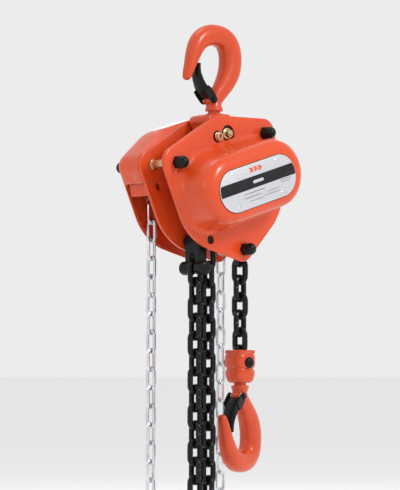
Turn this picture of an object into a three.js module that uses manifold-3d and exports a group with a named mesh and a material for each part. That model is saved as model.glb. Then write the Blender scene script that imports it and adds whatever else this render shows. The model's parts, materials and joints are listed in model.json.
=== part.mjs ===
// A hand chain hoist for 2 t: a top hook, a tilted two-plate body with a gear case and a hand-wheel cover,
// a load chain with a bottom hook, and an endless hand chain.
// Millimetres, +Z up. The origin is where the top hook's saddle bears on what holds the hoist.
// -Y is the gear side (front), +Y is the hand-wheel side, and both hooks open towards -X.
import * as THREE from "three";
import { mergeVertices } from "three/addons/utils/BufferGeometryUtils.js";
import Module from "manifold-3d";

const wasm = await Module();
wasm.setup();

// ---------------------------------------------------------------- driving dimensions
const GAP = 0.3; // running or assembly gap between neighbouring pieces
const TILT = THREE.MathUtils.degToRad(17.3); // the unloaded body hangs this far off square

const SADDLE_TO_PIN = 123.5; // top hook's saddle down to the suspension pin
const PIN_TO_SHEAVE = 65; // suspension pin straight down to the sheave axis
const SHEAVE_X = 2; // sheave axis, right of the plumb line through the pin
const SHEAVE_Z = -(SADDLE_TO_PIN + PIN_TO_SHEAVE);

// Load chain 8 x 24 and hand chain 5 x 25: wire diameter, pitch, outer width, radius on the wheel.
const LOAD = { wire: 8, pitch: 24, width: 25.6, wrap: 30 };
const HAND = { wire: 5, pitch: 25, width: 17, wrap: 64 };

// Stations along Y, front to back.
const Y = {
  bulgeFront: -86,
  flangeFront: -28.7,
  flangeBack: -25.7,
  plateAFront: -25.4,
  plateAInner: -21.2,
  plateBInner: 21.2,
  plateBBack: 26.2,
  handChain: 58.4,
  coverBack: 74,
};

// Pressed outline shared by both side plates and the gear case flange: the hull of two belly circles,
// a lobe at each stay bolt and a lobe at the top. Body frame, sheave axis at 0, 0.
const PLATE = [
  { x: -18, z: -11, r: 80 },
  { x: 20, z: -10, r: 80 },
  { x: -84, z: 47.5, r: 22 },
  { x: 83, z: 47.5, r: 20.5 },
  { x: -2, z: -90, r: 21 },
  { x: 3, z: 55, r: 35.5 },
];
// Behind its front edge the hand-wheel cover also bulges over the wheel at the top left.
const COVER = [...PLATE, { x: -30.6, z: 19.2, r: 70 }];
const STAYS = [
  { name: "left", x: -83.5, z: 47.5 },
  { name: "right", x: 83.5, z: 47.5 },
  { name: "bottom", x: 0, z: -95 },
];
const STAY_NECK = 5; // radius where a stay bolt passes a plate
const STAY_BODY = 6; // radius of its shoulder between the plates
const STAY_WAIST = 4.5; // the bottom one is waisted where the load chain passes
const NUT_RADIUS = 9.2;

const BULGE = [
  { x: -46, z: -2.6, r: 47.6 },
  { x: 44, z: -2.6, r: 47.6 },
];
const NAMEPLATE = [
  { x: -45.5, z: -5.3, r: 28.5 },
  { x: 40.5, z: -5.3, r: 28.5 },
];
const COVER_RIM = 67.6; // the cover's rim starts here, behind the hand chain's way out
const SHEET = 3; // pressed steel thickness of the gear case and the hand-wheel cover

// The suspension pin in the body frame: on the plumb line through the origin when the body hangs tilted.
const SUSPENSION = {
  x: PIN_TO_SHEAVE * Math.sin(TILT) - SHEAVE_X * Math.cos(TILT),
  z: PIN_TO_SHEAVE * Math.cos(TILT) + SHEAVE_X * Math.sin(TILT),
  r: 8,
};
const KEEPER = { x: -2.7, z: 63.3, r: 4.5 };
const ANCHOR_PIN = { x: -56.2, z: -66.3, r: 5.5 };

// Gear train: two stages share one centre distance.
const GEAR_CENTRES = 45;
const FAST = { module: 1.5, pinion: 9, gear: 51 };
const SLOW = { module: 2.25, pinion: 6, gear: 34 };
const FAST_Y = [-66, -54]; // disc gear wheels and drive pinion
const SLOW_Y = [-50, -31.5]; // load gear and disc gear pinions

const ROLLER = { away: 50, r: 6.7, pin: 4, angle: THREE.MathUtils.degToRad(38) };
const RATCHET = { teeth: 16, outer: 38, root: 34.5, phase: 7, y: [36.6, 41.6] };
const PAWL_LIFT = THREE.MathUtils.degToRad(6); // from the valleys, as while a tooth passes under the noses
const PAWL_PIVOT = { x: 46.1, z: 8.3 };

const LOAD_STRAND_X = 47.9; // the bottom stay bolt holds the hanging strand this far out
const ANCHOR_X = -34.5; // anchored strand
const SLACK_X = -10.6; // strand that comes off the sheave
const SLACK_HALF = 11.3; // the two slack strands touch, so each stands for a slightly slimmer chain
const ANCHOR_EYE = 9; // outer radius of the strap's eye
const ANCHOR_BAR = { z: SHEAVE_Z - 117, r: 9.5 };
const LOAD_PIN_Z = -(SADDLE_TO_PIN + 309.5); // chain pin in the bottom yoke
const BOTTOM_COLLAR_Z = -(SADDLE_TO_PIN + 340.5); // top of the bottom hook's collar
const SLACK_LOOP_Z = -(SADDLE_TO_PIN + 500); // where the slack loop turns
const HAND_LOOP_Z = -(SADDLE_TO_PIN + 490); // where the hand chain starts to turn
// The free strands hang slightly aside, so that the swivelling bottom hook passes them: mm per mm of drop.
const SLACK_LEAN = { from: ANCHOR_BAR.z - ANCHOR_BAR.r - GAP, x: -0.064, y: -0.07 };
const HAND_LEAN = { from: SHEAVE_Z - 105, x: 0.02, y: 0.028 }; // from under the hand-wheel cover
const BOTTOM_HOOK_TURN = THREE.MathUtils.degToRad(18);

// ---------------------------------------------------------------- finishes
const finish = (color, roughness, metalness) =>
  new THREE.MeshStandardMaterial({ color, roughness, metalness });
const PAINT = finish(0xf0552b, 0.35, 0.0);
const BLACK = finish(0x1b1c1e, 0.45, 0.6);
const ZINC = finish(0xc9ccd2, 0.35, 0.9);
const YELLOW_ZINC = finish(0xb99a55, 0.35, 0.9);
const STEEL = finish(0x8d9096, 0.4, 0.9);
const BRONZE = finish(0xa9743a, 0.45, 0.8);
const LINING = finish(0x6b5a4a, 0.9, 0.0);
const PLATE_SILVER = finish(0xd9dade, 0.4, 0.7);

// ---------------------------------------------------------------- solids
function toSolid(geometry) {
  const bare = geometry.index ? geometry.toNonIndexed() : geometry.clone();
  bare.deleteAttribute("normal");
  bare.deleteAttribute("uv");
  const merged = mergeVertices(bare, 1e-4);
  const triVerts = new Uint32Array(merged.index.array);
  const vertProperties = merged.attributes.position.array;
  const solid = new wasm.Manifold(new wasm.Mesh({ numProp: 3, vertProperties, triVerts }));
  if (solid.volume() > 0) return solid;
  for (let i = 0; i < triVerts.length; i += 3)
    [triVerts[i + 1], triVerts[i + 2]] = [triVerts[i + 2], triVerts[i + 1]];
  return new wasm.Manifold(new wasm.Mesh({ numProp: 3, vertProperties, triVerts }));
}

function toGeometry(solid) {
  const mesh = solid.getMesh();
  const geometry = new THREE.BufferGeometry();
  geometry.setAttribute("position", new THREE.BufferAttribute(mesh.vertProperties, 3));
  geometry.setIndex(new THREE.BufferAttribute(mesh.triVerts, 1));
  return geometry;
}

const join = (...pieces) => toGeometry(pieces.map(toSolid).reduce((a, b) => a.add(b)));
const cut = (piece, ...tools) =>
  toGeometry(tools.map(toSolid).reduce((a, b) => a.subtract(b), toSolid(piece)));
const keep = (piece, tool) => toGeometry(toSolid(piece).intersect(toSolid(tool)));

// A flat outline in X and Z, extruded along Y.
function prismY(points, y0, y1) {
  const shape = new THREE.Shape(points);
  return new THREE.ExtrudeGeometry(shape, { depth: y1 - y0, bevelEnabled: false, curveSegments: 8 })
    .rotateX(Math.PI / 2)
    .translate(0, y1, 0);
}

// A flat outline in X and Y, extruded along Z.
function prismZ(points, z0, z1) {
  return new THREE.ExtrudeGeometry(new THREE.Shape(points), {
    depth: z1 - z0,
    bevelEnabled: false,
  }).translate(0, 0, z0);
}

const points2 = (pairs) => pairs.map(([a, b]) => new THREE.Vector2(a, b));
const rectangle = (x0, x1, z0, z1) => points2([[x0, z0], [x1, z0], [x1, z1], [x0, z1]]);

// Profiles are pairs of radius and height, along Y or along Z, and close on themselves.
function turnedY(profile, sides = 20, x = 0, z = 0) {
  const closed = points2([...profile, profile[0]]);
  return new THREE.LatheGeometry(closed, sides).translate(x, 0, z);
}
const turnedZ = (profile, sides = 24) => turnedY(profile, sides).rotateX(Math.PI / 2);
const barY = (r, y0, y1, x = 0, z = 0, sides = 16) =>
  turnedY([[0, y0], [r, y0], [r, y1], [0, y1]], sides, x, z);
const barZ = (r, z0, z1, sides = 20) => turnedZ([[0, z0], [r, z0], [r, z1], [0, z1]], sides);
const ringY = (inner, outer, y0, y1, x = 0, z = 0, sides = 20) =>
  turnedY([[inner, y0], [outer, y0], [outer, y1], [inner, y1]], sides, x, z);

// The outline round a set of circles, drawn in by inset: each direction's furthest circle gives a point.
function hull(circles, inset = 0, sides = 40) {
  const points = [];
  for (let i = 0; i < sides; i++) {
    const u = Math.cos((2 * Math.PI * i) / sides);
    const v = Math.sin((2 * Math.PI * i) / sides);
    const reach = (c) => c.x * u + c.z * v + c.r;
    const far = circles.reduce((a, b) => (reach(b) > reach(a) ? b : a));
    points.push(new THREE.Vector2(far.x + u * (far.r - inset), far.z + v * (far.r - inset)));
  }
  return points;
}

// A closed skin through rings of points of equal count, flat at both ends unless it is a loop.
function skin(rings, loop = false) {
  const count = rings[0].length;
  const position = rings.flatMap((ring) => ring.flatMap((p) => [p.x, p.y, p.z]));
  const index = [];
  const last = loop ? rings.length : rings.length - 1;
  for (let i = 0; i < last; i++) {
    const here = i * count;
    const next = ((i + 1) % rings.length) * count;
    for (let j = 0; j < count; j++) {
      const k = (j + 1) % count;
      index.push(here + j, here + k, next + k, here + j, next + k, next + j);
    }
  }
  if (!loop)
    for (const [ring, way] of [[0, -1], [last, 1]]) {
      const middle = position.length / 3;
      const centre = rings[ring].reduce((sum, p) => sum.add(p), new THREE.Vector3());
      position.push(...centre.divideScalar(count).toArray());
      for (let j = 0; j < count; j++) {
        const here = ring * count + j;
        const next = ring * count + ((j + 1) % count);
        index.push(middle, ...(way > 0 ? [here, next] : [next, here]));
      }
    }
  const geometry = new THREE.BufferGeometry();
  geometry.setAttribute("position", new THREE.Float32BufferAttribute(position, 3));
  geometry.setIndex(index);
  return toGeometry(toSolid(geometry));
}

// A pressed form: the circles drawn in by each step's inset at its Y. A step may have its own circles.
const pressed = (circles, steps, sides = 40) =>
  skin(
    steps.map(([y, inset, own]) =>
      hull(own ?? circles, inset, sides).map((p) => new THREE.Vector3(p.x, y, p.y)),
    ),
  );

// A bar swept along a path in the XZ plane. Each station is { x, z, a, b }: half size across the path in
// its plane, and half size along Y. The section is a list of unit pairs (across, along Y).
function swept(stations, section, loop = false) {
  const count = stations.length;
  const at = (i) => stations[loop ? (i + count) % count : THREE.MathUtils.clamp(i, 0, count - 1)];
  const rings = stations.map((s, i) => {
    const before = at(i - 1);
    const after = at(i + 1);
    const length = Math.hypot(after.x - before.x, after.z - before.z);
    const nx = -(after.z - before.z) / length;
    const nz = (after.x - before.x) / length;
    return section.map(
      ([u, v]) => new THREE.Vector3(s.x + nx * s.a * u, s.b * v, s.z + nz * s.a * u),
    );
  });
  return skin(rings, loop);
}

const roundSection = (sides) =>
  Array.from({ length: sides }, (_, i) => {
    const t = (2 * Math.PI * (i + 0.5)) / sides;
    return [Math.cos(t), Math.sin(t)];
  });

// The outer shape of a chain: two crossed flat bars, in half widths.
function chainSection(chain) {
  const t = chain.wire / chain.width;
  return [
    [1, -t], [1, t], [t, t], [t, 1], [-t, 1], [-t, t],
    [-1, t], [-1, -t], [-t, -t], [-t, -1], [t, -1], [t, -t],
  ];
}

// One chain link standing in the XZ plane, centred on the origin, long way up.
function link(chain, sides = 6) {
  const straight = chain.pitch / 2 + chain.wire / 2 - (chain.width - chain.wire) / 2;
  const bow = (chain.width - chain.wire) / 2;
  const r = chain.wire / 2 + 0.1;
  const stations = [];
  for (const end of [1, -1])
    for (let i = 0; i <= 3; i++) {
      const t = (Math.PI * i) / 3 + (end < 0 ? Math.PI : 0);
      stations.push({ x: bow * Math.cos(t), z: end * straight + bow * Math.sin(t), a: r, b: r });
    }
  return swept(stations, roundSection(sides), true);
}

// A hexagon bar along Y with flats across.
const hexY = (across, y0, y1, x = 0, z = 0) => barY(across / Math.sqrt(3), y0, y1, x, z, 6);

// ---------------------------------------------------------------- gears
// Straight-sided teeth with clearance, the first tooth (or gap) at the given angle from +X towards +Z.
function gearOutline(teeth, module, phase, bore = 0) {
  const pitch = (teeth * module) / 2;
  const outer = pitch + module * 0.9;
  const root = pitch - module * 1.2;
  const step = (2 * Math.PI) / teeth;
  const half = (share, r) => (module * share) / r;
  const points = [];
  for (let i = 0; i < teeth; i++) {
    const t = phase + i * step;
    const tip = Math.min(half(0.34, outer), step * 0.16);
    const foot = Math.min(half(0.98, root), step * 0.31);
    const corners = [[t - foot, root], [t - tip, outer], [t + tip, outer], [t + foot, root]];
    for (const [angle, r] of corners)
      points.push(new THREE.Vector2(r * Math.cos(angle), r * Math.sin(angle)));
  }
  const shape = new THREE.Shape(points);
  if (bore) shape.holes.push(new THREE.Path(circle(bore, 24)));
  return shape;
}
const circle = (r, sides) =>
  Array.from({ length: sides }, (_, i) => {
    const t = (-2 * Math.PI * i) / sides;
    return new THREE.Vector2(r * Math.cos(t), r * Math.sin(t));
  });
function gear(teeth, module, phase, [y0, y1], bore = 0) {
  return new THREE.ExtrudeGeometry(gearOutline(teeth, module, phase, bore), {
    depth: y1 - y0,
    bevelEnabled: false,
  })
    .rotateX(Math.PI / 2)
    .translate(0, y1, 0);
}

// ---------------------------------------------------------------- side plates and covers
const stayHoles = (y0, y1, r) => STAYS.map((s) => barY(r, y0, y1, s.x, s.z, 12));

function gearCover() {
  const flange = prismY(hull(PLATE), Y.flangeFront, Y.flangeBack);
  const depth = [
    [Y.flangeBack, -7], [-31, -4.6], [-38, -1], [-47, 0], [-73, 1.2], [-82, 5.6], [Y.bulgeFront, 13],
  ];
  const hollow = [
    [Y.flangeBack + 1, -1], [-34, 1.4], [-73, 1.2 + SHEET], [Y.bulgeFront + SHEET, 12],
  ];
  const shell = cut(join(flange, pressed(BULGE, depth, 32)), pressed(BULGE, hollow, 32));
  const boss = (x) => ringY(6.4, 10, -84, -74, x, 0, 12);
  const front = Y.flangeFront - 12;
  return cut(
    join(shell, boss(-GEAR_CENTRES), boss(0), boss(GEAR_CENTRES)),
    barY(11.5, front, 0, SUSPENSION.x, SUSPENSION.z, 24),
    barY(8, front, 0, KEEPER.x, KEEPER.z, 20),
    barY(6, front, 0, ANCHOR_PIN.x, ANCHOR_PIN.z, 16),
    ...stayHoles(front, 0, STAY_NECK + GAP),
  );
}

function gearSidePlate() {
  const y0 = Y.plateAFront - 5;
  const y1 = Y.plateAInner + 5;
  return cut(
    prismY(hull(PLATE, 0.8), Y.plateAFront, Y.plateAInner),
    barY(27.4, y0, y1, 0, 0, 24),
    barY(4.8, y0, y1, -GEAR_CENTRES, 0, 16),
    barY(4.8, y0, y1, GEAR_CENTRES, 0, 16),
    barY(SUSPENSION.r + GAP, y0, y1, SUSPENSION.x, SUSPENSION.z),
    barY(KEEPER.r + GAP, y0, y1, KEEPER.x, KEEPER.z, 16),
    barY(ANCHOR_PIN.r + GAP, y0, y1, ANCHOR_PIN.x, ANCHOR_PIN.z, 16),
    ...rollerPlaces().map((p) => barY(ROLLER.pin + GAP, y0, y1, p.x, p.z, 12)),
    ...stayHoles(y0, y1, STAY_NECK + GAP),
  );
}

function wheelSidePlate() {
  const y0 = Y.plateBInner - 5;
  const y1 = Y.plateBBack + 5;
  return cut(
    prismY(hull(PLATE, 0.8), Y.plateBInner, Y.plateBBack),
    barY(27.4, y0, y1, 0, 0, 24),
    barY(SUSPENSION.r + GAP, y0, y1, SUSPENSION.x, SUSPENSION.z),
    barY(ANCHOR_PIN.r + GAP, y0, y1, ANCHOR_PIN.x, ANCHOR_PIN.z, 16),
    prismY(rectangle(-86.5, -78.5, 11, 23), y0, y1),
    ...pawlPlaces().map((p) => barY(4 + GAP, y0, y1, p.x, p.z, 12)),
    ...rollerPlaces().map((p) => barY(ROLLER.pin + GAP, y0, y1, p.x, p.z, 12)),
    ...stayHoles(y0, y1, STAY_NECK + GAP),
  );
}

const rollerPlaces = () =>
  [-1, 1].map((side) => ({
    side: side < 0 ? "left" : "right",
    x: side * ROLLER.away * Math.cos(ROLLER.angle),
    z: ROLLER.away * Math.sin(ROLLER.angle),
  }));
const pawlPlaces = () => [
  { side: "left", x: -PAWL_PIVOT.x, z: -PAWL_PIVOT.z, turn: Math.PI },
  { side: "right", x: PAWL_PIVOT.x, z: PAWL_PIVOT.z, turn: 0 },
];

function handWheelCover() {
  const front = Y.plateBBack + GAP;
  const outer = [
    [front, 0.8, PLATE], [36, 1.2], [62, 2.4], [69, 3.6], [72.6, 6.5], [Y.coverBack, 10],
  ];
  const inner = [
    [front - 1, 0.8 + SHEET, PLATE], [36, 1.2 + SHEET], [62, 2.4 + SHEET],
    [Y.coverBack - SHEET, 5 + SHEET],
  ];
  const shell = cut(pressed(COVER, outer), pressed(COVER, inner));
  // The chain leaves through the cut-away flank on each side, below the guides; a rim stays at the back.
  const window = (side) => {
    const sign = side === "left" ? -1 : 1;
    const w = rectangle(40, 130, -140, 27).map((p) => new THREE.Vector2(sign * p.x, p.y));
    return prismY(sign < 0 ? w.reverse() : w, 0, COVER_RIM);
  };
  const floor = prismY(rectangle(-41, 41, -140, -78), 0, COVER_RIM);
  return cut(
    shell,
    window("left"),
    window("right"),
    floor,
    ...stayHoles(Y.coverBack - 10, Y.coverBack + 5, STAY_NECK + GAP),
  );
}

// ---------------------------------------------------------------- fasteners
function stayBolt(s) {
  const waist = s.name === "bottom" ? STAY_WAIST : STAY_BODY;
  const front = Y.flangeFront;
  const back = Y.coverBack;
  const seat = back - SHEET - GAP;
  return turnedY(
    [
      [0, front - 8], [STAY_NECK, front - 8], [STAY_NECK, Y.plateAInner + GAP],
      [STAY_BODY, Y.plateAInner + GAP], [STAY_BODY, -15], [waist, -14], [waist, 14], [STAY_BODY, 15],
      [STAY_BODY, Y.plateBInner - GAP],
      [STAY_NECK, Y.plateBInner - GAP], [STAY_NECK, Y.plateBBack + GAP],
      [STAY_BODY, Y.plateBBack + GAP], [STAY_BODY, seat],
      [STAY_NECK, seat], [STAY_NECK, back + 8], [0, back + 8],
    ],
    10, s.x, s.z,
  );
}

// A cap nut along Y: its face at y, its dome towards way.
function capNut(s, y, way) {
  const at = (d) => y + way * (GAP + d);
  const low = Math.min(at(0), at(8));
  const high = Math.max(at(0), at(8));
  const dome = turnedY(
    [
      [0, at(5)], [NUT_RADIUS - 1, at(5)], [NUT_RADIUS - 1, at(11)], [NUT_RADIUS - 3.2, at(16)],
      [0, at(19)],
    ],
    10, s.x, s.z,
  );
  const body = join(barY(NUT_RADIUS, low, high, s.x, s.z, 6), dome);
  return cut(body, barY(STAY_NECK + GAP, y - 9, y + 9, s.x, s.z, 10));
}

const suspensionPin = () =>
  barY(SUSPENSION.r, -27.5, Y.plateBBack, SUSPENSION.x, SUSPENSION.z);
const anchorPin = () =>
  barY(ANCHOR_PIN.r, Y.plateAFront, Y.plateBBack, ANCHOR_PIN.x, ANCHOR_PIN.z);
const keeperScrew = () =>
  turnedY(
    [
      [0, -29], [KEEPER.r + 1.4, -29], [KEEPER.r + 1.4, -25.8], [KEEPER.r, -25.8],
      [KEEPER.r, -20.4], [0, -20.4],
    ],
    16, KEEPER.x, KEEPER.z,
  );

const nameplate = () => prismY(hull(NAMEPLATE, 0, 32), Y.bulgeFront - 1.6, Y.bulgeFront - GAP);

// ---------------------------------------------------------------- sheave and gear train
function loadSheave() {
  const neck = LOAD.wrap - LOAD.width / 2 - 2 * GAP;
  const seat = LOAD.wrap - LOAD.wire / 2 - 2 * GAP;
  const slot = LOAD.wire / 2 + GAP;
  const cheek = LOAD.width / 2 + GAP;
  return turnedY(
    [
      [9.3, SLOW_Y[0]], [15.5, SLOW_Y[0]], [15.5, -31], [19.6, -31], [19.6, -20.6], [40, -20.6],
      [40, -cheek - 2], [34, -cheek], [seat, -cheek], [seat, -slot], [neck, -slot],
      [neck, slot], [seat, slot], [seat, cheek], [34, cheek], [40, cheek + 2], [40, 20.6],
      [19.6, 20.6], [19.6, 27.6], [9.3, 27.6],
    ],
    24,
  );
}

function bearing(y0, y1) {
  return ringY(20, 27, y0, y1);
}

function discGear(side) {
  const x = side * GEAR_CENTRES;
  const facing = side > 0 ? Math.PI : 0; // towards the centre pinion
  // With an odd count the drive pinion shows a tooth to the right and a gap to the left.
  const wheelPhase = facing + (side > 0 ? Math.PI / FAST.gear : 0);
  const pinionPhase = facing;
  const wheel = gear(FAST.gear, FAST.module, wheelPhase, FAST_Y);
  const pinion = gear(SLOW.pinion, SLOW.module, pinionPhase, [SLOW_Y[0] - 4, SLOW_Y[1] + 1.5]);
  const neckRadius = (SLOW.pinion * SLOW.module) / 2 - SLOW.module * 1.2;
  return join(
    wheel,
    pinion,
    barY(neckRadius, SLOW_Y[1], Y.plateAInner - 0.2),
    barY(5.9, -81, FAST_Y[0] + 1),
  ).translate(x, 0, 0);
}

function driveShaft() {
  const pinion = gear(FAST.pinion, FAST.module, 0, [FAST_Y[0] - 1, FAST_Y[1] + 1]);
  const shaft = join(
    pinion,
    barY(5.9, -81, FAST_Y[0]),
    turnedY([[0, FAST_Y[1]], [5.2, FAST_Y[1]], [8, FAST_Y[1] + 4], [8, 69.5], [0, 69.5]], 20),
  );
  return cut(shaft, crossBar(SPLIT_PIN.r + GAP, 20));
}

const loadGear = () => gear(SLOW.gear, SLOW.module, Math.PI / SLOW.gear, SLOW_Y, 15.5 + GAP);

// A bar along X across the end of the drive shaft.
const SPLIT_PIN = { y: 67.9, r: 1.2 };
const crossBar = (r, half) =>
  new THREE.CylinderGeometry(r, r, 2 * half, 8).rotateZ(Math.PI / 2).translate(0, SPLIT_PIN.y, 0);

// ---------------------------------------------------------------- brake and hand wheel
const frictionHub = () =>
  turnedY([[8 + GAP, 28.4], [32, 28.4], [32, 33.4], [13, 33.4], [13, 44.2], [8 + GAP, 44.2]]);
const frictionDisc = (y0, y1) => ringY(13.4, 32, y0, y1);

const polar = (r, degrees) => {
  const t = THREE.MathUtils.degToRad(degrees);
  return new THREE.Vector2(r * Math.cos(t), r * Math.sin(t));
};

// Each tooth rises steeply, has a short land and falls away slowly.
function ratchetDisc() {
  const step = 360 / RATCHET.teeth;
  const points = [];
  for (let i = 0; i < RATCHET.teeth; i++) {
    const start = RATCHET.phase + i * step;
    points.push(
      polar(RATCHET.root, start),
      polar(RATCHET.outer, start + 0.08 * step),
      polar(RATCHET.outer, start + 0.3 * step),
    );
  }
  return cut(prismY(points, ...RATCHET.y), barY(13.4, 30, 50));
}

// The pawl bends round the ratchet's teeth. It is drawn with its nose in a valley, against a tooth's
// steep side, local to its pivot and from points round the sheave axis, and placed lifted by PAWL_LIFT.
function pawl() {
  const pivot = new THREE.Vector2(PAWL_PIVOT.x, PAWL_PIVOT.z);
  const round = [
    [35.5, 50.5], [38.9, 46], [38.9, 30], [39.4, 20], [40.5, 7], [44, 2.3], [50, 3], [53.6, 8.6],
    [53, 14.7], [49.8, 22.4], [48, 35.7], [46.4, 48], [41, 53.4],
  ];
  const outline = round.map(([r, a]) => polar(r, a).sub(pivot)).reverse();
  return cut(prismY(outline, ...RATCHET.y), barY(4 + GAP, 30, 50));
}
const pawlPin = () =>
  turnedY([[0, Y.plateBInner], [4, Y.plateBInner], [4, 42], [6, 42], [6, 44], [0, 44]], 12);
function pawlSpring() {
  const coil = ringY(5, 7, 29, 35.6, 0, 0, 16);
  const leg = prismY(rectangle(-14, -5.2, -1, 1), 33.6, 35.6);
  return join(coil, leg);
}

function handWheel() {
  const y = (d) => Y.handChain + d;
  const floor = HAND.wrap - HAND.width / 2 - 3 * GAP;
  const seat = HAND.wrap - HAND.wire / 2 - 3 * GAP;
  const slot = HAND.wire / 2 + GAP;
  const cheek = HAND.width / 2 + GAP;
  return turnedY(
    [
      [8 + GAP, 44.8], [32, 44.8], [32, 51], [48, 51], [52, y(-11)], [70, y(-11)],
      [70, y(-cheek - 1)], [66, y(-cheek)], [seat, y(-cheek)], [seat, y(-slot)], [floor, y(-slot)],
      [floor, y(slot)], [seat, y(slot)], [seat, y(cheek)], [66, y(cheek)], [70, y(cheek + 1)],
      [70, y(11)], [52, y(11)],
      [47, 56], [20, 56], [18, 61], [8 + GAP, 61],
    ],
    24,
  );
}

// A bracket behind plate B that steers the hand chain into the wheel.
function chainGuide(side) {
  const [x0, x1] = side < 0 ? [-96, -84] : [84, 96];
  const web = side < 0 ? [-96, -93] : [93, 96];
  const back = Y.plateBBack + GAP;
  return join(
    prismY(rectangle(x0, x1, -2, 26), back, back + 2.5),
    prismY(rectangle(...web, 8, 26), back, 65),
  );
}

const lockNut = () => cut(hexY(22, 61.4, 66.4), barY(8 + GAP, 50, 80));
const splitPin = () => crossBar(SPLIT_PIN.r, 12);

// ---------------------------------------------------------------- between the plates
function chainStripper() {
  const blade = points2([[-6, -18], [7, -18], [9, -45], [6, -86], [-12, -86], [-13, -50]]);
  const bridge = prismY(rectangle(-11, -3, -72, -62), Y.plateAInner + GAP, Y.plateBInner - GAP);
  return join(prismY(blade, -2.4, 2.4), bridge);
}
const roller = (p) =>
  ringY(ROLLER.pin + GAP, ROLLER.r, Y.plateAInner + 1, Y.plateBInner - 1, p.x, p.z, 16);
const rollerPin = (p) => barY(ROLLER.pin, Y.plateAFront, Y.plateBBack, p.x, p.z, 12);

// ---------------------------------------------------------------- hooks
// The hook's bow from its collar, round the saddle, to the tip. Saddle at the origin, opening to -X.
const HOOK_LINE = [
  [0, -91, 12, 12], [0, -83.5, 12, 12], [1, -79, 10.6, 9], [5, -70, 11, 9], [14, -59, 12, 10.5],
  [24, -44, 14, 12.5], [30, -22, 15.5, 13], [27, -2, 15.4, 13.4], [13, 11, 15, 13.4],
  [-6, 14.6, 14.6, 13], [-23, 9, 13.6, 12.4], [-35, -5, 12.4, 11.6], [-40.5, -20, 11, 10.8],
  [-44.5, -33, 9.6, 10], [-48.5, -43, 8.2, 8.8], [-51, -49, 4.6, 5.2],
];
// The bow has an eight-sided section: its corners stand out a little, so that its flats do not fall short.
const FORGED = 1.07;
const SHANK = { r: 8.5, groove: 4, headRadius: 14, head: 6 };
const TOP_SHANK = 22; // from the collar to the end of the shank's head
const BOTTOM_SHANK = 16.5;

function hook(shankLength) {
  const bow = swept(
    HOOK_LINE.map(([x, z, a, b]) => ({ x, z, a: a * FORGED, b: b * FORGED })),
    roundSection(8),
  );
  const foot = HOOK_LINE[0][1];
  const end = foot - shankLength;
  const shank = turnedZ([
    [0, foot + 2], [SHANK.r, foot + 2], [SHANK.r, end + SHANK.head],
    [SHANK.headRadius - 1, end + SHANK.head], [SHANK.headRadius - 1, end], [0, end],
  ], 16);
  const latchEar = barY(5.6, -6.5, 6.5, LATCH.x + 1.5, LATCH.z, 16);
  return cut(join(bow, shank, latchEar), barY(LATCH.pin + GAP, -12, 12, LATCH.x, LATCH.z, 12));
}

// The latch: a pressed channel pinned across the neck, closing on the inside of the tip.
const LATCH = { x: -9, z: -76.5, pin: 2.4, half: 11.5, inside: 9.5 };
function latch() {
  const side = points2([
    [-15, -77], [-9, -81.5], [-4.6, -78], [-5, -72], [-11, -62], [-21, -46], [-28.5, -31],
    [-32.4, -32], [-35.2, -42], [-32, -54], [-25, -63],
  ]);
  const hollow = points2([
    [-29.8, -26], [-33, -41.6], [-29.9, -53], [-22, -63.5], [-26, -69], [-26, -95], [6, -95],
    [6, -60], [-14, -26],
  ]);
  return cut(
    prismY(side, -LATCH.half, LATCH.half),
    prismY(hollow, -LATCH.inside, LATCH.inside),
    barY(LATCH.pin + GAP, -20, 20, LATCH.x, LATCH.z, 12),
  );
}
const latchPin = () =>
  turnedY(
    [
      [0, -14], [4, -14], [4, -LATCH.half - GAP], [LATCH.pin, -LATCH.half - GAP],
      [LATCH.pin, LATCH.half + GAP], [4, LATCH.half + GAP], [4, 14], [0, 14],
    ],
    12, LATCH.x, LATCH.z,
  );

// ---------------------------------------------------------------- yokes
const roundedBlock = (hx, hy, r, z0, z1) => {
  const shape = new THREE.Shape();
  const quarter = Math.PI / 2;
  for (const [sx, sy, n] of [[1, 1, 0], [-1, 1, 1], [-1, -1, 2], [1, -1, 3]])
    shape.absarc(sx * (hx - r), sy * (hy - r), r, n * quarter, (n + 1) * quarter);
  return new THREE.ExtrudeGeometry(shape, {
    depth: z1 - z0,
    bevelEnabled: false,
    curveSegments: 4,
  }).translate(0, 0, z0);
};

// Top yoke: a domed block on the suspension pin; the hook's shank turns in it.
function topYoke() {
  const pin = -SADDLE_TO_PIN;
  const collar = HOOK_LINE[0][1] - SHANK.groove;
  const dome = prismY(
    points2([
      [-15, -14], [15, -14], [22, -4], [24, 8], [21, 19], [13, pinUp(collar)], [-13, pinUp(collar)],
      [-23, 22.5], [-27, 16], [-25, 6], [-21, -4],
    ]),
    -19.5, 19.5,
  ).translate(0, 0, pin);
  const boss = turnedY(
    [[0, -20.4], [5.4, -20.4], [7, -18], [7, 18], [5.4, 20.4], [0, 20.4]],
    16, -20, pin + 15,
  );
  const end = HOOK_LINE[0][1] - TOP_SHANK;
  return cut(
    join(dome, boss),
    turnedZ([
      [0, collar + 5], [SHANK.r + GAP, collar + 5], [SHANK.r + GAP, end + SHANK.head + GAP],
      [SHANK.headRadius, end + SHANK.head + GAP], [SHANK.headRadius, end - GAP], [0, end - GAP],
    ], 16),
    prismY(
      rectangle(-SHANK.headRadius, SHANK.headRadius, end - GAP, end + SHANK.head + GAP),
      0, 30,
    ),
    barY(SUSPENSION.r + GAP, -30, 30, 0, pin),
  );
}
const pinUp = (z) => z + SADDLE_TO_PIN;

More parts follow.
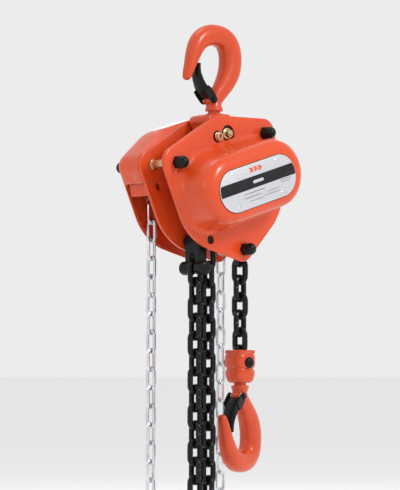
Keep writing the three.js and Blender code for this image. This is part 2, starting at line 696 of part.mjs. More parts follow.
// Bottom yoke halves, split on the middle plane; they close on the shank's head and carry the chain pin.
function bottomYoke(side) {
  const top = -(SADDLE_TO_PIN + 292);
  const low = BOTTOM_COLLAR_Z + SHANK.groove - 1;
  const block = roundedBlock(18.5, 18, 9, low, top);
  const half = side < 0 ? rectangle(-30, 30, -30, -GAP / 2) : rectangle(-30, 30, GAP / 2, 30);
  const head = BOTTOM_COLLAR_Z + BOTTOM_SHANK;
  return cut(
    keep(block, prismZ(half, low - 1, top + 1)),
    turnedZ([
      [0, low - 5], [SHANK.r + GAP, low - 5], [SHANK.r + GAP, head - SHANK.head - GAP],
      [SHANK.headRadius, head - SHANK.head - GAP], [SHANK.headRadius, head + GAP], [0, head + GAP],
    ], 16),
    prismZ(rectangle(-14, 14, -4.6, 4.6), LOAD_PIN_Z - 13.6, top + 5),
    prismZ(rectangle(-4.6, 4.6, -14, 14), LOAD_PIN_Z + 3, top + 5),
    barY(5 + GAP, -30, 30, 0, LOAD_PIN_Z, 16),
  );
}
const yokePin = () =>
  turnedY(
    [[0, -23], [6.5, -23], [7.5, -21], [7.5, -18.4], [5, -18.4], [5, 22], [0, 22]],
    16, 0, LOAD_PIN_Z,
  );
const yokeNut = () =>
  cut(barY(8.2, 18.4, 25, 0, LOAD_PIN_Z, 6), barY(5 + GAP, 10, 30, 0, LOAD_PIN_Z, 16));

// ---------------------------------------------------------------- chains
// Real links, joined into one strand: the last link stands in XZ round the yoke's pin.
function loadStrand() {
  const first = LOAD_PIN_Z + LOAD.pitch / 2 - 5 - 4 * GAP;
  const top = SHEAVE_Z - 8;
  const links = [];
  for (let i = 0, z = first; z < top; i++, z += LOAD.pitch)
    links.push(link(LOAD).rotateZ(i % 2 ? Math.PI / 2 : 0).translate(0, 0, z));
  return join(...links).translate(LOAD_STRAND_X, 0, 0);
}

const arc = (r, from, to, steps, x = 0, z = 0) =>
  Array.from({ length: steps + 1 }, (_, i) => {
    const t = from + ((to - from) * i) / steps;
    return { x: x + r * Math.cos(t), z: z + r * Math.sin(t) };
  });
const sized = (chain, path) => path.map((p) => ({ ...p, a: chain.width / 2, b: chain.width / 2 }));

// Over the sheave, and down between the plates to the slack strand.
function loadChainWrap() {
  const path = [
    { x: SLACK_X, z: SHEAVE_Z - 78 },
    { x: SLACK_X, z: SHEAVE_Z - 69 },
    { x: SLACK_X - 4, z: SHEAVE_Z - 56 },
    ...arc(LOAD.wrap, Math.PI * 1.03, 0.05, 8, SHEAVE_X, SHEAVE_Z),
  ];
  const slim = sized(LOAD, path).map((p, i) => (i < 3 ? { ...p, a: SLACK_HALF } : p));
  return swept(slim, chainSection(LOAD));
}

// Moves everything below lean.from aside in proportion to its drop.
function leaned(geometry, lean) {
  const position = geometry.getAttribute("position");
  for (let i = 0; i < position.count; i++) {
    const drop = Math.max(0, lean.from - position.getZ(i));
    position.setX(i, position.getX(i) + lean.x * drop);
    position.setY(i, position.getY(i) + lean.y * drop);
  }
  return geometry;
}

// The anchored strand, the turn of the slack loop and the strand that goes up to the sheave.
function slackChain() {
  const turn = (SLACK_X - ANCHOR_X) / 2;
  const path = [
    { x: ANCHOR_X, z: SLACK_LEAN.from },
    ...arc(turn, Math.PI, 2 * Math.PI, 6, ANCHOR_X + turn, SLACK_LOOP_Z),
    { x: SLACK_X, z: SLACK_LEAN.from },
    { x: SLACK_X, z: SHEAVE_Z - 79 },
  ];
  const slim = path.map((p) => ({ ...p, a: SLACK_HALF, b: LOAD.width / 2 }));
  return leaned(swept(slim, chainSection(LOAD)), SLACK_LEAN);
}

// Endless: over the hand wheel, down both sides and round the bottom.
function handChain() {
  const path = [
    ...arc(HAND.wrap, Math.PI, 0, 14, SHEAVE_X, SHEAVE_Z),
    { x: SHEAVE_X + HAND.wrap, z: HAND_LEAN.from },
    ...arc(HAND.wrap, 0, -Math.PI, 8, SHEAVE_X, HAND_LOOP_Z),
    { x: SHEAVE_X - HAND.wrap, z: HAND_LEAN.from },
  ];
  const loop = swept(sized(HAND, path), chainSection(HAND), true).translate(0, Y.handChain, 0);
  return leaned(loop, HAND_LEAN);
}

// ---------------------------------------------------------------- anchor
// The strap hangs on its pin and is rolled round a barrel that the last link passes through.
function anchorBracket() {
  const pin = fromBody(ANCHOR_PIN);
  const eye = ringY(ANCHOR_PIN.r + GAP, ANCHOR_EYE, -15, 15, pin.x, pin.z, 16);
  const strap = prismY(
    points2([
      [pin.x - ANCHOR_EYE, pin.z], [ANCHOR_X - 6, ANCHOR_BAR.z], [ANCHOR_X + 2, ANCHOR_BAR.z],
      [pin.x + 3, pin.z - 6],
    ]),
    -15, 15,
  );
  const barrel = barY(ANCHOR_BAR.r, -25, 25, ANCHOR_X, ANCHOR_BAR.z, 16);
  const linkSlot = rectangle(ANCHOR_X - 20, ANCHOR_X + 20, ANCHOR_BAR.z - 12, ANCHOR_BAR.z + 18);
  return cut(
    join(eye, strap, barrel),
    barY(ANCHOR_PIN.r + GAP, -30, 30, pin.x, pin.z, 16),
    prismY(linkSlot, -4.5, 4.5),
  );
}
const fromBody = (p) => ({
  x: SHEAVE_X + p.x * Math.cos(TILT) - p.z * Math.sin(TILT),
  z: SHEAVE_Z + p.x * Math.sin(TILT) + p.z * Math.cos(TILT),
});

// ---------------------------------------------------------------- assembly
const group = new THREE.Group();
const body = new THREE.Group(); // everything fixed to, or turning in, the tilted body
body.position.set(SHEAVE_X, 0, SHEAVE_Z);
body.rotation.y = -TILT;
group.add(body);

function add(parent, name, geometry, material) {
  const mesh = new THREE.Mesh(toGeometry(toSolid(geometry)), material);
  mesh.name = name;
  parent.add(mesh);
  return mesh;
}

add(body, "gear_cover", gearCover(), PAINT);
add(body, "gear_side_plate", gearSidePlate(), PAINT);
add(body, "wheel_side_plate", wheelSidePlate(), PAINT);
add(body, "hand_wheel_cover", handWheelCover(), PAINT);
add(body, "nameplate", nameplate(), PLATE_SILVER);
for (const s of STAYS) {
  add(body, `stay_bolt_${s.name}`, stayBolt(s), YELLOW_ZINC);
  add(body, `front_cap_nut_${s.name}`, capNut(s, Y.flangeFront, -1), BLACK);
  add(body, `rear_cap_nut_${s.name}`, capNut(s, Y.coverBack, 1), BLACK);
}
add(body, "suspension_pin", suspensionPin(), ZINC);
add(body, "pin_keeper_screw", keeperScrew(), ZINC);
add(body, "anchor_pin", anchorPin(), STEEL);

add(body, "load_sheave", loadSheave(), STEEL);
add(body, "load_gear", loadGear(), STEEL);
add(body, "sheave_bearing_front", bearing(-30.4, Y.plateAInner), STEEL);
add(body, "sheave_bearing_rear", bearing(Y.plateBInner, 27.4), STEEL);
add(body, "disc_gear_left", discGear(-1), STEEL);
add(body, "disc_gear_right", discGear(1), STEEL);
add(body, "drive_shaft", driveShaft(), STEEL);
add(body, "chain_stripper", chainStripper(), BLACK);
for (const p of rollerPlaces()) {
  add(body, `guide_roller_${p.side}`, roller(p), STEEL);
  add(body, `guide_roller_pin_${p.side}`, rollerPin(p), ZINC);
}

add(body, "friction_hub", frictionHub(), STEEL);
add(body, "friction_disc_inner", frictionDisc(33.7, 36.3), LINING);
add(body, "ratchet_disc", ratchetDisc(), STEEL);
add(body, "friction_disc_outer", frictionDisc(41.9, 44.5), LINING);
for (const p of pawlPlaces())
  for (const [name, make, material, lift] of [
    [`pawl_${p.side}`, pawl, BLACK, PAWL_LIFT],
    [`pawl_pin_${p.side}`, pawlPin, ZINC, 0],
    [`pawl_spring_${p.side}`, pawlSpring, ZINC, 0],
  ]) {
    const mesh = add(body, name, make(), material);
    mesh.position.set(p.x, 0, p.z);
    mesh.rotation.y = p.turn + lift;
  }
add(body, "hand_wheel", handWheel(), PAINT);
add(body, "hand_chain_guide_left", chainGuide(-1), PAINT);
add(body, "hand_chain_guide_right", chainGuide(1), PAINT);
add(body, "lock_nut", lockNut(), ZINC);
add(body, "split_pin", splitPin(), ZINC);

add(group, "top_hook", hook(TOP_SHANK), PAINT);
add(group, "top_latch", latch(), BLACK);
add(group, "top_latch_pin", latchPin(), BLACK);
add(group, "top_yoke", topYoke(), PAINT);

add(group, "anchor_bracket", anchorBracket(), BLACK);
add(group, "load_chain_wrap", loadChainWrap(), BLACK);
add(group, "slack_chain", slackChain(), BLACK);
add(group, "hand_chain", handChain(), ZINC);

const lower = new THREE.Group(); // hangs on the load strand
lower.position.x = LOAD_STRAND_X;
group.add(lower);
add(group, "load_chain", loadStrand(), BLACK);
add(lower, "bottom_yoke_front", bottomYoke(-1), PAINT);
add(lower, "bottom_yoke_rear", bottomYoke(1), PAINT);
add(lower, "yoke_pin", yokePin(), BLACK);
add(lower, "yoke_nut", yokeNut(), BLACK);

const bottomHook = new THREE.Group(); // the same hook, turned over and swivelled
bottomHook.rotation.set(Math.PI, 0, BOTTOM_HOOK_TURN, "ZXY");
bottomHook.position.z = BOTTOM_COLLAR_Z + HOOK_LINE[0][1];
lower.add(bottomHook);
add(bottomHook, "bottom_hook", hook(BOTTOM_SHANK), PAINT);
add(bottomHook, "bottom_latch", latch(), BLACK);
add(bottomHook, "bottom_latch_pin", latchPin(), BLACK);

export default group;
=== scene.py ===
"""Looks of a 2 t hand chain hoist. Sizes are in millimetres in this file and become metres in add()."""
import json
from math import cos, pi, radians, sin, sqrt

import bmesh
import bpy
from mathutils import Matrix, Vector


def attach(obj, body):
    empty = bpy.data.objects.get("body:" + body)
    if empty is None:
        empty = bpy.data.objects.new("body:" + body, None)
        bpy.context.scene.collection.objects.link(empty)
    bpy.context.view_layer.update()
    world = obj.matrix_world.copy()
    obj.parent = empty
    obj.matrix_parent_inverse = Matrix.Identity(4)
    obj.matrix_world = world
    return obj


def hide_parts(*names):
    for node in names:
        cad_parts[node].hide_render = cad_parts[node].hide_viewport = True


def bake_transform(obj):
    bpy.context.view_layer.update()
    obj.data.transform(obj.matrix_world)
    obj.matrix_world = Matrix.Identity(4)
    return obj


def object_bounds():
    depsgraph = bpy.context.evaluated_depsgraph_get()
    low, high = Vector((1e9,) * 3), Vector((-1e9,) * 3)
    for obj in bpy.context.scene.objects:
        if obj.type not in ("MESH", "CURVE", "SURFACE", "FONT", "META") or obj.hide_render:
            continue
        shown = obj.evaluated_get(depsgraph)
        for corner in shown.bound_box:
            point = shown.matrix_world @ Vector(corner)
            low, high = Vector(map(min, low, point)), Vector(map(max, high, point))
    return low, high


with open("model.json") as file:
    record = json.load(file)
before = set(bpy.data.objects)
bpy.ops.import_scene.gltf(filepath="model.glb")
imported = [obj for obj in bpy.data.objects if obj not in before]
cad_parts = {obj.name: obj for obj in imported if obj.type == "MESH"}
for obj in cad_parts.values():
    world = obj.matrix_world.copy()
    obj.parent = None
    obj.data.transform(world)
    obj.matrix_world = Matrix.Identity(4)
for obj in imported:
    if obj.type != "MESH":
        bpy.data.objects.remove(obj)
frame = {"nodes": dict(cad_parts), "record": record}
CAD_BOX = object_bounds()

# ---------------------------------------------------------------- camera
AZIMUTH, ELEVATION, DISTANCE = radians(-42), radians(-3), 3.0
back = Vector((sin(AZIMUTH) * cos(ELEVATION), -cos(AZIMUTH) * cos(ELEVATION), sin(ELEVATION)))
look_at = Vector((-0.02569, 0.0, -0.27422))
camera_data = bpy.data.cameras.new("camera")
camera_data.lens = 163.1
camera_data.sensor_width = 36
camera_data.clip_end = 100
camera = bpy.data.objects.new("camera", camera_data)
bpy.context.scene.collection.objects.link(camera)
camera.location = look_at + back * DISTANCE
camera.rotation_euler = back.to_track_quat("Z", "Y").to_euler()
bpy.context.scene.camera = camera

# ---------------------------------------------------------------- sizes shared with the CAD
TILT = radians(17.3)
SHEAVE_X, SHEAVE_Z = 2.0, -188.5
PIN_Z = -123.5
BODY = Matrix.Translation((SHEAVE_X, 0, SHEAVE_Z)) @ Matrix.Rotation(-TILT, 4, "Y")
PLATE = [(-18, -11, 80), (20, -10, 80), (-84, 47.5, 22), (83, 47.5, 20.5), (-2, -90, 21), (3, 55, 35.5)]
COVER = PLATE + [(-30.6, 19.2, 70)]
BULGE = [(-46, -2.6, 47.6), (44, -2.6, 47.6)]
NAMEPLATE = [(-45.5, -5.3, 28.5), (40.5, -5.3, 28.5)]
STAYS = {"left": (-83.5, 47.5), "right": (83.5, 47.5), "bottom": (0, -95)}
SUSPENSION = (65 * sin(TILT) - 2 * cos(TILT), 65 * cos(TILT) + 2 * sin(TILT))
KEEPER = (-2.7, 63.3)
ANCHOR_PIN = (-56.2, -66.3)
FLANGE_FRONT, FLANGE_BACK, PLATE_A_FRONT, PLATE_A_INNER = -28.7, -25.7, -25.4, -21.2
PLATE_B_INNER, PLATE_B_BACK, HAND_Y, COVER_BACK = 21.2, 26.2, 58.4, 74.0
COVER_RIM = 67.6
LOAD_X, ANCHOR_X, SLACK_X = 47.9, -34.5, -10.6
ANCHOR_BAR_Z = SHEAVE_Z - 117
LOAD_PIN_Z, BOTTOM_COLLAR_Z = -433.0, -464.0
HAND_LOOP_Z = -613.5
BOTTOM_HOOK_TURN = radians(18)
# Each lean: the height it starts at, then mm aside in X and in Y for each mm of drop.
SLACK_LEAN = (ANCHOR_BAR_Z - 9.8, -0.064, -0.07)
HAND_LEAN = (SHEAVE_Z - 105, 0.02, 0.028)


def from_body(x, z):
    p = BODY @ Vector((x, 0, z))
    return p.x, p.z


# ---------------------------------------------------------------- materials
def new_material(name, **values):
    m = bpy.data.materials.new(name)
    m.use_nodes = True
    shader = m.node_tree.nodes["Principled BSDF"]
    for key, value in values.items():
        shader.inputs[key.replace("_", " ")].default_value = value
    return m, m.node_tree, shader


def noise(tree, scale, detail, stretch=None, rough=0.55):
    coords = tree.nodes.new("ShaderNodeTexCoord")
    node = tree.nodes.new("ShaderNodeTexNoise")
    node.inputs["Scale"].default_value = scale
    node.inputs["Detail"].default_value = detail
    node.inputs["Roughness"].default_value = rough
    if stretch:
        mapping = tree.nodes.new("ShaderNodeMapping")
        mapping.inputs["Scale"].default_value = stretch
        tree.links.new(coords.outputs["Object"], mapping.inputs["Vector"])
        tree.links.new(mapping.outputs["Vector"], node.inputs["Vector"])
    else:
        tree.links.new(coords.outputs["Object"], node.inputs["Vector"])
    return node.outputs["Fac"]


def ramp(tree, factor, stops):
    node = tree.nodes.new("ShaderNodeValToRGB")
    while len(node.color_ramp.elements) < len(stops):
        node.color_ramp.elements.new(0.5)
    for element, (at, color) in zip(node.color_ramp.elements, stops):
        element.position = at
        element.color = (*color, 1) if isinstance(color, tuple) else (color, color, color, 1)
    tree.links.new(factor, node.inputs["Fac"])
    return node.outputs["Color"]


def mix(tree, factor, a, b):
    node = tree.nodes.new("ShaderNodeMix")
    node.data_type = "RGBA"
    for socket, value in ((node.inputs[0], factor), (node.inputs[6], a), (node.inputs[7], b)):
        if isinstance(value, bpy.types.NodeSocket):
            tree.links.new(value, socket)
        elif isinstance(value, tuple):
            socket.default_value = (*value, 1)
        else:
            socket.default_value = value
    return node.outputs[2]


def bump(tree, shader, *layers):
    """Each layer is (height, strength, distance in metres)."""
    normal = None
    for height, strength, distance in layers:
        node = tree.nodes.new("ShaderNodeBump")
        node.inputs["Strength"].default_value = strength
        node.inputs["Distance"].default_value = distance
        tree.links.new(height, node.inputs["Height"])
        if normal:
            tree.links.new(normal, node.inputs["Normal"])
        normal = node.outputs["Normal"]
    tree.links.new(normal, shader.inputs["Normal"])


def edge_mask(tree, low, high):
    geometry = tree.nodes.new("ShaderNodeNewGeometry")
    return ramp(tree, geometry.outputs["Pointiness"], [(low, 0.0), (high, 1.0)])


def paint(name, base, shade, coarse=0.0, roughness=0.3):
    """Gloss enamel: orange peel, slight run of tone, rubbed edges."""
    m, tree, shader = new_material(name, Coat_Weight=0.35, Coat_Roughness=0.14, Specular_IOR_Level=0.3)
    tone = ramp(tree, noise(tree, 14, 3), [(0.3, base), (0.75, shade)])
    dust = ramp(tree, noise(tree, 160, 6, rough=0.7), [(0.66, 0.0), (0.8, 0.22)])
    tone = mix(tree, dust, tone, tuple(c * 0.72 for c in base))
    edges = edge_mask(tree, 0.56, 0.68)
    patches = ramp(tree, noise(tree, 90, 5), [(0.5, 0.0), (0.62, 1.0)])
    worn = mix(tree, edges, (0.0, 0.0, 0.0), patches)
    tone = mix(tree, worn, tone, (0.55, 0.18, 0.09))
    tree.links.new(tone, shader.inputs["Base Color"])
    gloss = ramp(tree, noise(tree, 45, 4), [(0.3, roughness - 0.05), (0.8, roughness + 0.1)])
    tree.links.new(gloss, shader.inputs["Roughness"])
    layers = [(noise(tree, 420, 2), 0.10, 0.0006)]
    if coarse:
        layers.append((noise(tree, 95, 5), coarse, 0.0016))
    bump(tree, shader, *layers)
    return m


def metal(name, base, dark, roughness, scale=60, stretch=None, grain=0.12, metallic=1.0, spots=None,
          specular=0.5):
    """Bare or plated metal, ink and lining: a grained tone, with spots of another where they are given."""
    m, tree, shader = new_material(name, Metallic=metallic, Specular_IOR_Level=specular)
    tone = ramp(tree, noise(tree, scale, 5, stretch), [(0.35, base), (0.72, dark)])
    if spots:
        tone = mix(tree, ramp(tree, noise(tree, scale * 3.1, 5), [(0.6, 0.0), (0.72, 0.8)]), tone, spots)
    tree.links.new(tone, shader.inputs["Base Color"])
    stops = [(0.3, roughness * 0.75), (0.8, roughness * 1.35)]
    tree.links.new(ramp(tree, noise(tree, scale * 1.7, 4, stretch), stops), shader.inputs["Roughness"])
    bump(tree, shader, (noise(tree, scale * 5, 3, stretch), grain, 0.0005))
    return m


ORANGE, ORANGE_SHADE = (0.72, 0.072, 0.012), (0.62, 0.058, 0.010)
PAINT = paint("orange_enamel", ORANGE, ORANGE_SHADE)
FORGED_PAINT = paint("orange_enamel_on_forging", (0.66, 0.066, 0.011), (0.54, 0.050, 0.009), coarse=0.22,
                     roughness=0.34)
WHEEL_PAINT = paint("orange_enamel_wheel", (0.62, 0.06, 0.018), (0.5, 0.045, 0.014), coarse=0.3,
                    roughness=0.45)
BLACK = metal("black_oxide", (0.010, 0.010, 0.011), (0.005, 0.005, 0.006), 0.3, metallic=0.15, grain=0.2,
              specular=0.22)
CHAIN_BLACK = metal("black_chain", (0.008, 0.008, 0.009), (0.004, 0.004, 0.005), 0.22, scale=90,
                    metallic=0.1, grain=0.22, spots=(0.02, 0.02, 0.022), specular=0.26)
ZINC = metal("bright_zinc", (0.78, 0.79, 0.82), (0.6, 0.62, 0.67), 0.2, scale=80, grain=0.25)
YELLOW_ZINC = metal("yellow_zinc", (0.72, 0.58, 0.36), (0.5, 0.36, 0.19), 0.27, scale=45,
                    stretch=(1, 0.2, 1), spots=(0.62, 0.5, 0.45))
STEEL = metal("machined_steel", (0.42, 0.42, 0.44), (0.26, 0.26, 0.28), 0.33, scale=70,
              spots=(0.12, 0.1, 0.08))
LINING = metal("friction_lining", (0.11, 0.085, 0.06), (0.06, 0.045, 0.035), 0.8, metallic=0.0, grain=0.6)
SILVER = metal("nameplate_silver", (0.74, 0.75, 0.78), (0.66, 0.67, 0.7), 0.3, scale=40, stretch=(1, 1, 22),
               grain=0.05, metallic=0.75)
# Black ink for the nameplate. The same black also makes the discs of painted shade behind the pin holes.
BLACK_INK_AND_PAINTED_SHADE = metal("black_ink_and_painted_shade", (0.012, 0.012, 0.014), (0.02, 0.02, 0.022), 0.35, metallic=0.0,
             grain=0.05, specular=0.2)
GREY_INK = metal("nameplate_grey_ink", (0.2, 0.2, 0.22), (0.28, 0.28, 0.3), 0.5, metallic=0.0, grain=0.05)
ORANGE_INK = metal("nameplate_orange_ink", (0.75, 0.1, 0.04), (0.65, 0.08, 0.03), 0.4, metallic=0.0,
                   grain=0.05)

CAD_MATERIALS = {
    "paint": PAINT, "nameplate": SILVER, "yellow_zinc": YELLOW_ZINC, "black_steel": BLACK,
    "zinc": ZINC, "steel": STEEL, "lining": LINING,
}


# ---------------------------------------------------------------- mesh building
def add(name, parts, material, body, replaces, place=None, bevel=0.0, segments=3, angle=32,
        cutters=()):
    """One piece from (points in mm, faces). cutters are closed (points, faces) to take away.

    body is None for a piece that is attached to no body."""
    points, faces = [], []
    for p, f in parts:
        faces += [[i + len(points) for i in face] for face in f]
        points += p
    obj = make_object(name, points, faces, place)
    for n, (p, f) in enumerate(cutters):
        tool = make_object(f"{name}_cut{n}", p, f, place)
        cut = obj.modifiers.new("cut", "BOOLEAN")
        cut.operation, cut.solver, cut.object = "DIFFERENCE", "EXACT", tool
        bpy.context.view_layer.update()
        mesh = bpy.data.meshes.new_from_object(obj.evaluated_get(bpy.context.evaluated_depsgraph_get()))
        obj.modifiers.clear()
        old = obj.data
        obj.data = mesh
        bpy.data.meshes.remove(old)
        bpy.data.objects.remove(tool, do_unlink=True)
    smooth(obj.data, angle)
    if bevel:
        m = obj.modifiers.new("bevel", "BEVEL")
        m.width, m.segments, m.limit_method, m.angle_limit = bevel / 1000, segments, "ANGLE", radians(angle)
        m.harden_normals = True
        m.use_clamp_overlap = True
    obj.data.materials.clear()
    obj.data.materials.append(material)
    for polygon in obj.data.polygons:
        polygon.material_index = 0
    if body:
        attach(obj, body)
    if replaces:
        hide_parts(*replaces)
    return obj


def make_object(name, points, faces, place):
    matrix = Matrix.Scale(0.001, 4) @ (place or Matrix())
    mesh = bpy.data.meshes.new(name)
    mesh.from_pydata([matrix @ Vector(p) for p in points], [], faces)
    bm = bmesh.new()
    bm.from_mesh(mesh)
    bmesh.ops.recalc_face_normals(bm, faces=bm.faces)
    bm.to_mesh(mesh)
    bm.free()
    obj = bpy.data.objects.new(name, mesh)
    bpy.context.scene.collection.objects.link(obj)
    return obj


def smooth(mesh, angle):
    """Smooth faces, with a crease where two meet at more than the angle in degrees."""
    bm = bmesh.new()
    bm.from_mesh(mesh)
    for face in bm.faces:
        face.smooth = True
    for edge in bm.edges:
        edge.smooth = len(edge.link_faces) == 2 and edge.calc_face_angle(0) <= radians(angle)
    bm.to_mesh(mesh)
    bm.free()


def loft(rings, loop=False):
    """A skin through rings of equal count, closed at its ends or joined end to end."""
    count = len(rings[0])
    points = [p for ring in rings for p in ring]
    faces = []
    for i in range(len(rings) if loop else len(rings) - 1):
        a, b = i * count, ((i + 1) % len(rings)) * count
        faces += [[a + j, a + (j + 1) % count, b + (j + 1) % count, b + j] for j in range(count)]
    if not loop:
        faces += [list(range(count))[::-1], list(range(len(points) - count, len(points)))]
    return points, faces


def hull(circles, inset, sides):
    """The outline of a belt round (x, z, radius) circles, moved in by inset."""
    out = []
    for i in range(sides):
        u, v = cos(2 * pi * i / sides), sin(2 * pi * i / sides)
        x, z, r = max(circles, key=lambda c: c[0] * u + c[1] * v + c[2])
        out.append((x + u * (r - inset), z + v * (r - inset)))
    return out


def even(outline, count):
    """The same outline with points at even spacing."""
    n = len(outline)
    lengths = [0.0]
    for i in range(n):
        a, b = outline[i], outline[(i + 1) % n]
        lengths.append(lengths[-1] + sqrt((b[0] - a[0]) ** 2 + (b[1] - a[1]) ** 2))
    out, j = [], 0
    for i in range(count):
        s = lengths[-1] * i / count
        while lengths[j + 1] < s:
            j += 1
        t = (s - lengths[j]) / max(lengths[j + 1] - lengths[j], 1e-9)
        a, b = outline[j % n], outline[(j + 1) % n]
        out.append((a[0] + (b[0] - a[0]) * t, a[1] + (b[1] - a[1]) * t))
    return out


def pressed(circles, steps, sides):
    """A pressed shell's solid: the belt outline at each (y, inset)."""
    return loft([[(x, y, z) for x, z in hull(circles, inset, sides)] for y, inset in steps])


def prism(outline, start, end, axis="y"):
    """A straight solid along an axis, from an outline in the plane across it."""
    orders = {"x": lambda a, b, c: (c, a, b), "y": lambda a, b, c: (a, c, b),
              "z": lambda a, b, c: (a, b, c)}
    at = orders[axis]
    return loft([[at(a, b, along) for a, b in outline] for along in (start, end)])


AXIS_RADIUS = 0.01  # stands for a radius of zero


def turned(profile, x, z, sides, axis="y", wave=None):
    """profile: (radius, height) from end to end; ends on the axis close themselves, others join up."""
    rings = []
    for r, h in profile:
        ring = []
        for i in range(sides):
            t = 2 * pi * i / sides
            rr = max(wave(r, h, t) if wave else r, AXIS_RADIUS)
            u, v = x + rr * cos(t), z + rr * sin(t)
            ring.append((u, h, v) if axis == "y" else (u, v, h))
        rings.append(ring)
    return loft(rings, loop=profile[0][0] > 2 * AXIS_RADIUS and profile[-1][0] > 2 * AXIS_RADIUS)


def rod(r, y0, y1, x, z, edge, sides):
    """A bar with rounded ends."""
    profile = [(0, y0), (r - edge, y0), (r - 0.3 * edge, y0 + 0.3 * edge), (r, y0 + edge), (r, y1 - edge),
               (r - 0.3 * edge, y1 - 0.3 * edge), (r - edge, y1), (0, y1)]
    return turned(profile, x, z, sides)


def catmull(stations, per):
    """A smooth run through the stations, with that many steps between each two."""
    out, n = [], len(stations)
    for i in range(n - 1):
        p0, p1, p2, p3 = (stations[min(max(k, 0), n - 1)] for k in (i - 1, i, i + 1, i + 2))
        for j in range(per):
            t = j / per
            out.append(tuple(
                0.5 * (2 * b + (c - a) * t + (2 * a - 5 * b + 4 * c - d) * t * t
                       + (3 * b - a - 3 * c + d) * t ** 3)
                for a, b, c, d in zip(p0, p1, p2, p3)))
    out.append(tuple(stations[-1]))
    return out


def sweep(stations, section):
    """stations: (x, z, a, b) in the XZ plane; section(t) gives unit (across, along Y) pairs."""
    rings, n = [], len(stations)
    for i, (x, z, a, b) in enumerate(stations):
        before, after = stations[max(i - 1, 0)], stations[min(i + 1, n - 1)]
        dx, dz = after[0] - before[0], after[1] - before[1]
        length = sqrt(dx * dx + dz * dz) or 1.0
        nx, nz = -dz / length, dx / length
        rings.append([(x + nx * a * u, b * v, z + nz * a * u) for u, v in section(i / (n - 1))])
    return loft(rings)


LINK_AROUND, LINK_SIDES = 22, 10  # points along a link's loop, and round its wire
WELD = [(0.9, -2.0), (1.0, -1.1), (1.09, 0), (1.0, 1.1), (0.9, 2.0)]  # (share of the wire's radius, height)


def link_mesh(wire, pitch, width):
    """One link in the XZ plane, long way up, with a weld bead on one leg."""
    r, bow = wire / 2, (width - wire) / 2
    straight = pitch / 2 + r - bow
    path = []
    half = LINK_AROUND // 2
    for end in (1, -1):
        for i in range(half):
            t = pi * i / (half - 1) + (pi if end < 0 else 0)
            path.append((bow * cos(t), end * straight + bow * sin(t)))
    rings, n = [], len(path)
    for i, (x, z) in enumerate(path):
        a, b = path[i - 1], path[(i + 1) % n]
        dx, dz = b[0] - a[0], b[1] - a[1]
        length = sqrt(dx * dx + dz * dz)
        nx, nz = dz / length, -dx / length
        turns = [2 * pi * k / LINK_SIDES for k in range(LINK_SIDES)]
        rings.append([(x + nx * r * cos(t), r * sin(t), z + nz * r * cos(t)) for t in turns])
    weld = turned([(r * share, h) for share, h in WELD], -bow, 0, LINK_SIDES, "z")
    return loft(rings, loop=True), weld


def chain(spots, wire, pitch, width):
    """spots: (point, direction, turn) for each link; turn is about the direction."""
    base = link_mesh(wire, pitch, width)
    parts = []
    for point, direction, turn in spots:
        z = Vector(direction).normalized()
        x = Vector((0, 1, 0)).cross(z)
        x.normalize()
        y = z.cross(x)
        m = Matrix((x, y, z)).transposed().to_4x4()
        m = Matrix.Translation(point) @ m @ Matrix.Rotation(turn, 4, "Z")
        parts += [([tuple(m @ Vector(p)) for p in pts], faces) for pts, faces in base]
    return parts


# ---------------------------------------------------------------- side plates, gear case, hand-wheel cover
OUTLINE_SIDES, BORE_SIDES = 160, 48


def bore(r, y0, y1, x, z):
    turns = [2 * pi * t / BORE_SIDES for t in range(BORE_SIDES)]
    return prism([(x + r * cos(t), z + r * sin(t)) for t in turns], y0, y1)


FLANGE = [(FLANGE_BACK, 0.5), (FLANGE_BACK - 0.4, 0.0), (FLANGE_FRONT + 1.5, 0.0),
          (FLANGE_FRONT + 0.9, 0.2), (FLANGE_FRONT + 0.35, 0.8), (FLANGE_FRONT, 1.9)]
add("gear_cover_flange", [pressed(PLATE, FLANGE, OUTLINE_SIDES)], PAINT, "frame", ["gear_cover"],
    BODY, bevel=0.7, cutters=[bore(11.6, -34, -20, *SUSPENSION), bore(8.1, -34, -20, *KEEPER),
                        bore(6.1, -34, -20, *ANCHOR_PIN)])
DOME = [(-28.5, -9.8), (-29.2, -9.0), (-30.2, -7.7), (-31.8, -6.0), (-34, -4.3), (-37, -2.7), (-41, -1.3),
        (-46, -0.5), (-53, 0.1), (-62, 0.6), (-69, 1.0), (-74, 1.8), (-78, 3.4), (-81, 5.8), (-83.2, 8.8),
        (-84.8, 12.4), (-85.7, 16.2), (-86, 19.6)]
add("gear_cover_dome", [pressed(BULGE, DOME, OUTLINE_SIDES)], PAINT, "frame", ["gear_cover"], BODY)


def side_plate(y0, y1):
    steps = [(y0, 1.8), (y0 + 0.3, 1.1), (y0 + 0.9, 0.8), (y1 - 0.9, 0.8), (y1 - 0.3, 1.1), (y1, 1.8)]
    return pressed(PLATE, steps, OUTLINE_SIDES)


add("gear_side_plate_pressed", [side_plate(PLATE_A_FRONT, PLATE_A_INNER)], PAINT, "frame",
    ["gear_side_plate"], BODY, bevel=0.5, segments=2,
    cutters=[bore(27.4, -30, 0, 0, 0), bore(8.3, -30, 0, *SUSPENSION), bore(4.8, -30, 0, *KEEPER)])


def rounded_rectangle(x0, x1, z0, z1, r, n=6):
    out = []
    corners = ((x1 - r, z1 - r), (x0 + r, z1 - r), (x0 + r, z0 + r), (x1 - r, z0 + r))
    for start, (cx, cz) in enumerate(corners):
        for i in range(n + 1):
            t = (start + i / n) * pi / 2
            out.append((cx + r * cos(t), cz + r * sin(t)))
    return out


add("wheel_side_plate_pressed", [side_plate(PLATE_B_INNER, PLATE_B_BACK)], PAINT, "frame",
    ["wheel_side_plate"], BODY, bevel=0.5, segments=2,
    cutters=[bore(27.4, 0, 30, 0, 0), bore(8.3, 0, 30, *SUSPENSION),
             prism(rounded_rectangle(-86.5, -78.5, 11, 23, 3.9), 0, 30)])

